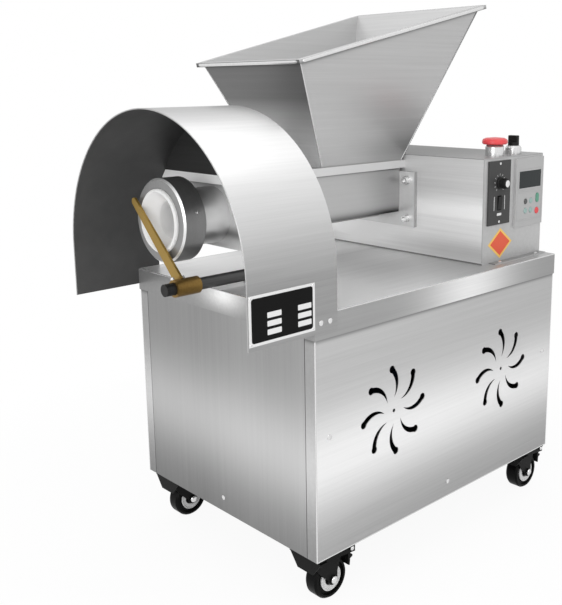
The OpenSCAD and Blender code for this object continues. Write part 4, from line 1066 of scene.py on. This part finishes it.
key_rim = bmesh.new()
add_rim(key_rim, 78 * MM, 52 * MM, 1.6 * MM, 0.5 * MM)
keys_z = (middle("run_key").z + middle("stop_key").z) / 2
key_place = on_wall(face_x, middle("inverter").y, keys_z)
keep("key_rim", key_rim, key_place, "grey_plastic", "machine")
print("key field height in mm:", round(1000 * keys_z))

# %% [markdown]
# A blank diamond plate sits low on the control wall. It is two thin slabs, a yellow rim
# under an orange field. The field's face stands a little above the rim's, because two
# faces in one place would flicker.

# %% Diamond plate
DIAMOND_Y, DIAMOND_Z = control_low.y + 52 * MM, control_low.z + 33 * MM


def diamond(half_y, half_z):
    return [Vector((half_y, 0)), Vector((0, half_z)), Vector((-half_y, 0)), Vector((0, -half_z))]


diamond_place = on_wall(CONTROL_WALL_X, DIAMOND_Y, DIAMOND_Z)
border = bmesh.new()
add_slab(border, diamond(36 * MM, 27 * MM), -0.05 * MM, 0.3 * MM, INK_CHAMFER)
keep("diamond_border", border, diamond_place, "plate_yellow", "machine")
centre_field = bmesh.new()
add_slab(centre_field, diamond(29.5 * MM, 22 * MM), 0.2 * MM, 0.45 * MM, INK_CHAMFER)
keep("diamond_field", centre_field, diamond_place, "plate_orange", "machine")
print("diamond height in mm:", round(1000 * DIAMOND_Z))

# %% [markdown]
# A caster wheel is a black tyre on a pale plastic rim. The solid wheel has a recess on
# each side, so a dished ring goes into each recess and rides on its wheel. The ring is a
# closed profile spun about the axle: radius and depth from the wheel's side, in
# millimetres. Bright domed heads go on the axle and on the brake pin, and ride on the
# fork. What is made for one side is copied, turned half round, for the other.

# %% Caster trim
RING_PROFILE_MM = ((11.2, -3.4), (20.0, -4.0), (20.6, -1.1), (19.0, -0.6), (17.6, -2.0), (12.0, -1.6))
CHEEK_OUT = 6.6 * MM
HEAD_SIZES = {"axle": (6.3 * MM, 3.0 * MM, 24), "pin": (3.9 * MM, 2.2 * MM, 20)}
PIN_INSET, PIN_BELOW = 9 * MM, 11 * MM


def add_turned(shape, profile, steps):
    """Adds a closed profile of radius and height, spun about the third axis."""
    rings = []
    for radius, level in profile:
        rings.append([shape.verts.new((radius * x, radius * y, level)) for x, y in circle(steps)])
    join_rings(shape, rings + rings[:1])


def both_sides(shape):
    """Adds a copy of a shape, turned half round the upright axis."""
    copied = bmesh.ops.duplicate(shape, geom=shape.verts[:] + shape.edges[:] + shape.faces[:])["geom"]
    points = [part for part in copied if isinstance(part, bmesh.types.BMVert)]
    bmesh.ops.rotate(shape, cent=(0, 0, 0), matrix=Matrix.Rotation(math.pi, 3, "Y"), verts=points)


for corner in CORNERS:
    wheel_low, wheel_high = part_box(corner + "_wheel")
    wheel_half = (wheel_high.x - wheel_low.x) / 2
    fork_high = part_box(corner + "_fork")[1]
    axle_place = on_wall(*middle(corner + "_wheel"))
    pin_place = on_wall(middle(corner + "_wheel").x, fork_high.y - PIN_INSET, fork_high.z - PIN_BELOW)

    rings = bmesh.new()
    add_turned(rings, [(radius * MM, wheel_half + level * MM) for radius, level in RING_PROFILE_MM], 40)
    both_sides(rings)
    keep(corner + "_hub_rings", rings, axle_place, "pale_plastic", corner + "_wheel")

    for kind, place in (("axle", axle_place), ("pin", pin_place)):
        radius, height, steps = HEAD_SIZES[kind]
        heads = bmesh.new()
        add_dome(heads, radius, height, (0, 0), wheel_half + CHEEK_OUT, steps)
        both_sides(heads)
        keep("%s_%s_head" % (corner, kind), heads, place, "bright_metal", corner + "_fork")
print("casters trimmed:", len(CORNERS))

# %% [markdown]
# The stage is a pale floor under plain soft light. The background has to be white for
# the camera and in reflections, without pouring that much light on the machine, so the
# world and the floor ask the Light Path node what kind of ray is looking at them.

# %% World
WORLD_LIGHT = 0.6


def seen_ray(tree):
    """One where a camera, glossy or transmission ray looks, else nought."""
    camera_ray = tree.node("ShaderNodeLightPath", output="Is Camera Ray")
    glossy_ray = tree.node("ShaderNodeLightPath", output="Is Glossy Ray")
    through_ray = tree.node("ShaderNodeLightPath", output="Is Transmission Ray")
    return camera_ray.above(glossy_ray).above(through_ray)


world = bpy.data.worlds.new("studio")
world.use_nodes = True
studio = Tree(world.node_tree, "ShaderNodeOutputWorld")
strength = WORLD_LIGHT + seen_ray(studio) * (1.0 - WORLD_LIGHT)
studio.show(studio.node("ShaderNodeBackground", {}, {"Color": grey(1.0), "Strength": strength}))
bpy.context.scene.world = world
print("world light:", WORLD_LIGHT)

# %% [markdown]
# The floor is white paper. Most of it glows for the rays that see it, so it blends into
# the background, and a little less near the machine, where its shadow has to show.

# %% Floor
FLOOR_HALF = 6.0
FLOOR_GLOW = 0.93
GLOW_START, GLOW_WIDTH = 0.2, 0.8

floor_shape = bmesh.new()
bmesh.ops.create_grid(floor_shape, x_segments=8, y_segments=8, size=FLOOR_HALF)
floor_mesh = bpy.data.meshes.new("floor")
floor_shape.to_mesh(floor_mesh)
floor_shape.free()
floor = bpy.data.objects.new("floor", floor_mesh)
bpy.context.scene.collection.objects.link(floor)

paper = Finish("floor_paper", Roughness=0.9)
paper.set(Base_Color=paper.mix(paper.noise(2.0), grey(0.90), grey(0.94)))
away_x, away_y = paper.spot(ALONG_X), paper.spot(ALONG_Y)
fade = ((away_x * away_x + away_y * away_y - GLOW_START) / GLOW_WIDTH).held()
share = seen_ray(paper) * (FLOOR_GLOW + fade * (1.0 - FLOOR_GLOW))
glow = paper.node("ShaderNodeEmission", {}, {"Color": grey(1.0)})
paper.show(paper.node("ShaderNodeMixShader", {}, {0: share, 1: paper.surface, 2: glow}))
floor_mesh.materials.append(paper.material)
print("floor side in m:", 2 * FLOOR_HALF)

# %% [markdown]
# Three large soft lamps model the shapes: a key high on the control side, one before the
# mouthpiece and a weak broad one overhead. Large lamps make soft shadows and wide gentle
# streaks in the brushed sheet, where a small one would leave hard spots.

# %% Lamps
TARGET = Vector((0, 0, 0.45))


def lamp(name, place, size, power):
    data = bpy.data.lights.new(name, "AREA")
    data.shape = "SQUARE"
    data.size = size
    data.energy = power
    made = bpy.data.objects.new(name, data)
    made.location = place
    made.rotation_mode = "QUATERNION"
    made.rotation_quaternion = (TARGET - Vector(place)).to_track_quat("-Z", "Y")
    bpy.context.scene.collection.objects.link(made)


lamp("key_lamp", (2.4, -0.6, 1.8), size=1.8, power=20.0)
lamp("front_lamp", (0.7, -2.4, 1.2), size=1.8, power=30.0)
lamp("top_lamp", (0.0, 0.3, 2.8), size=2.4, power=12.0)
print("lamps placed")

# %% [markdown]
# The camera stands where the photographer stood. It could be set by eye, but its place,
# its turn and its focal length were solved from the corners of the cabinet, the guard, the
# control box and the hopper, which is closer. The picture was trimmed unevenly, so the
# lens axis isn't at its middle.

# %% Camera
PICTURE_WIDE, PICTURE_HIGH = 562, 605
FOCAL_PX = 863.8
AXIS_PX_X, AXIS_PX_Y = 324.4, 254.5
SENSOR = 36.0
VIEW_TURN, VIEW_RISE, VIEW_ROLL = (math.radians(angle) for angle in (46.326, 11.255, -0.496))
CAMERA_PLACE = Vector((1.06788, -1.04277, 0.78253))

view_level = Vector((math.sin(VIEW_TURN), -math.cos(VIEW_TURN), 0.0))
back = math.cos(VIEW_RISE) * view_level + math.sin(VIEW_RISE) * Vector((0, 0, 1))
level_right = (-back).cross(Vector((0, 0, 1))).normalized()
level_up = level_right.cross(-back)
right = math.cos(VIEW_ROLL) * level_right + math.sin(VIEW_ROLL) * level_up
up = math.cos(VIEW_ROLL) * level_up - math.sin(VIEW_ROLL) * level_right

lens = bpy.data.cameras.new("photo_camera")
lens.sensor_width = SENSOR
lens.lens = FOCAL_PX * SENSOR / PICTURE_HIGH
lens.shift_x = (PICTURE_WIDE / 2 - AXIS_PX_X) / PICTURE_HIGH
lens.shift_y = (AXIS_PX_Y - PICTURE_HIGH / 2) / PICTURE_HIGH
camera = bpy.data.objects.new("photo_camera", lens)
camera.matrix_world = Matrix.Translation(CAMERA_PLACE) @ Matrix((right, up, back)).transposed().to_4x4()
bpy.context.scene.collection.objects.link(camera)
bpy.context.scene.camera = camera
bpy.context.scene.view_settings.view_transform = "Standard"
print("lens in mm:", round(lens.lens, 2))
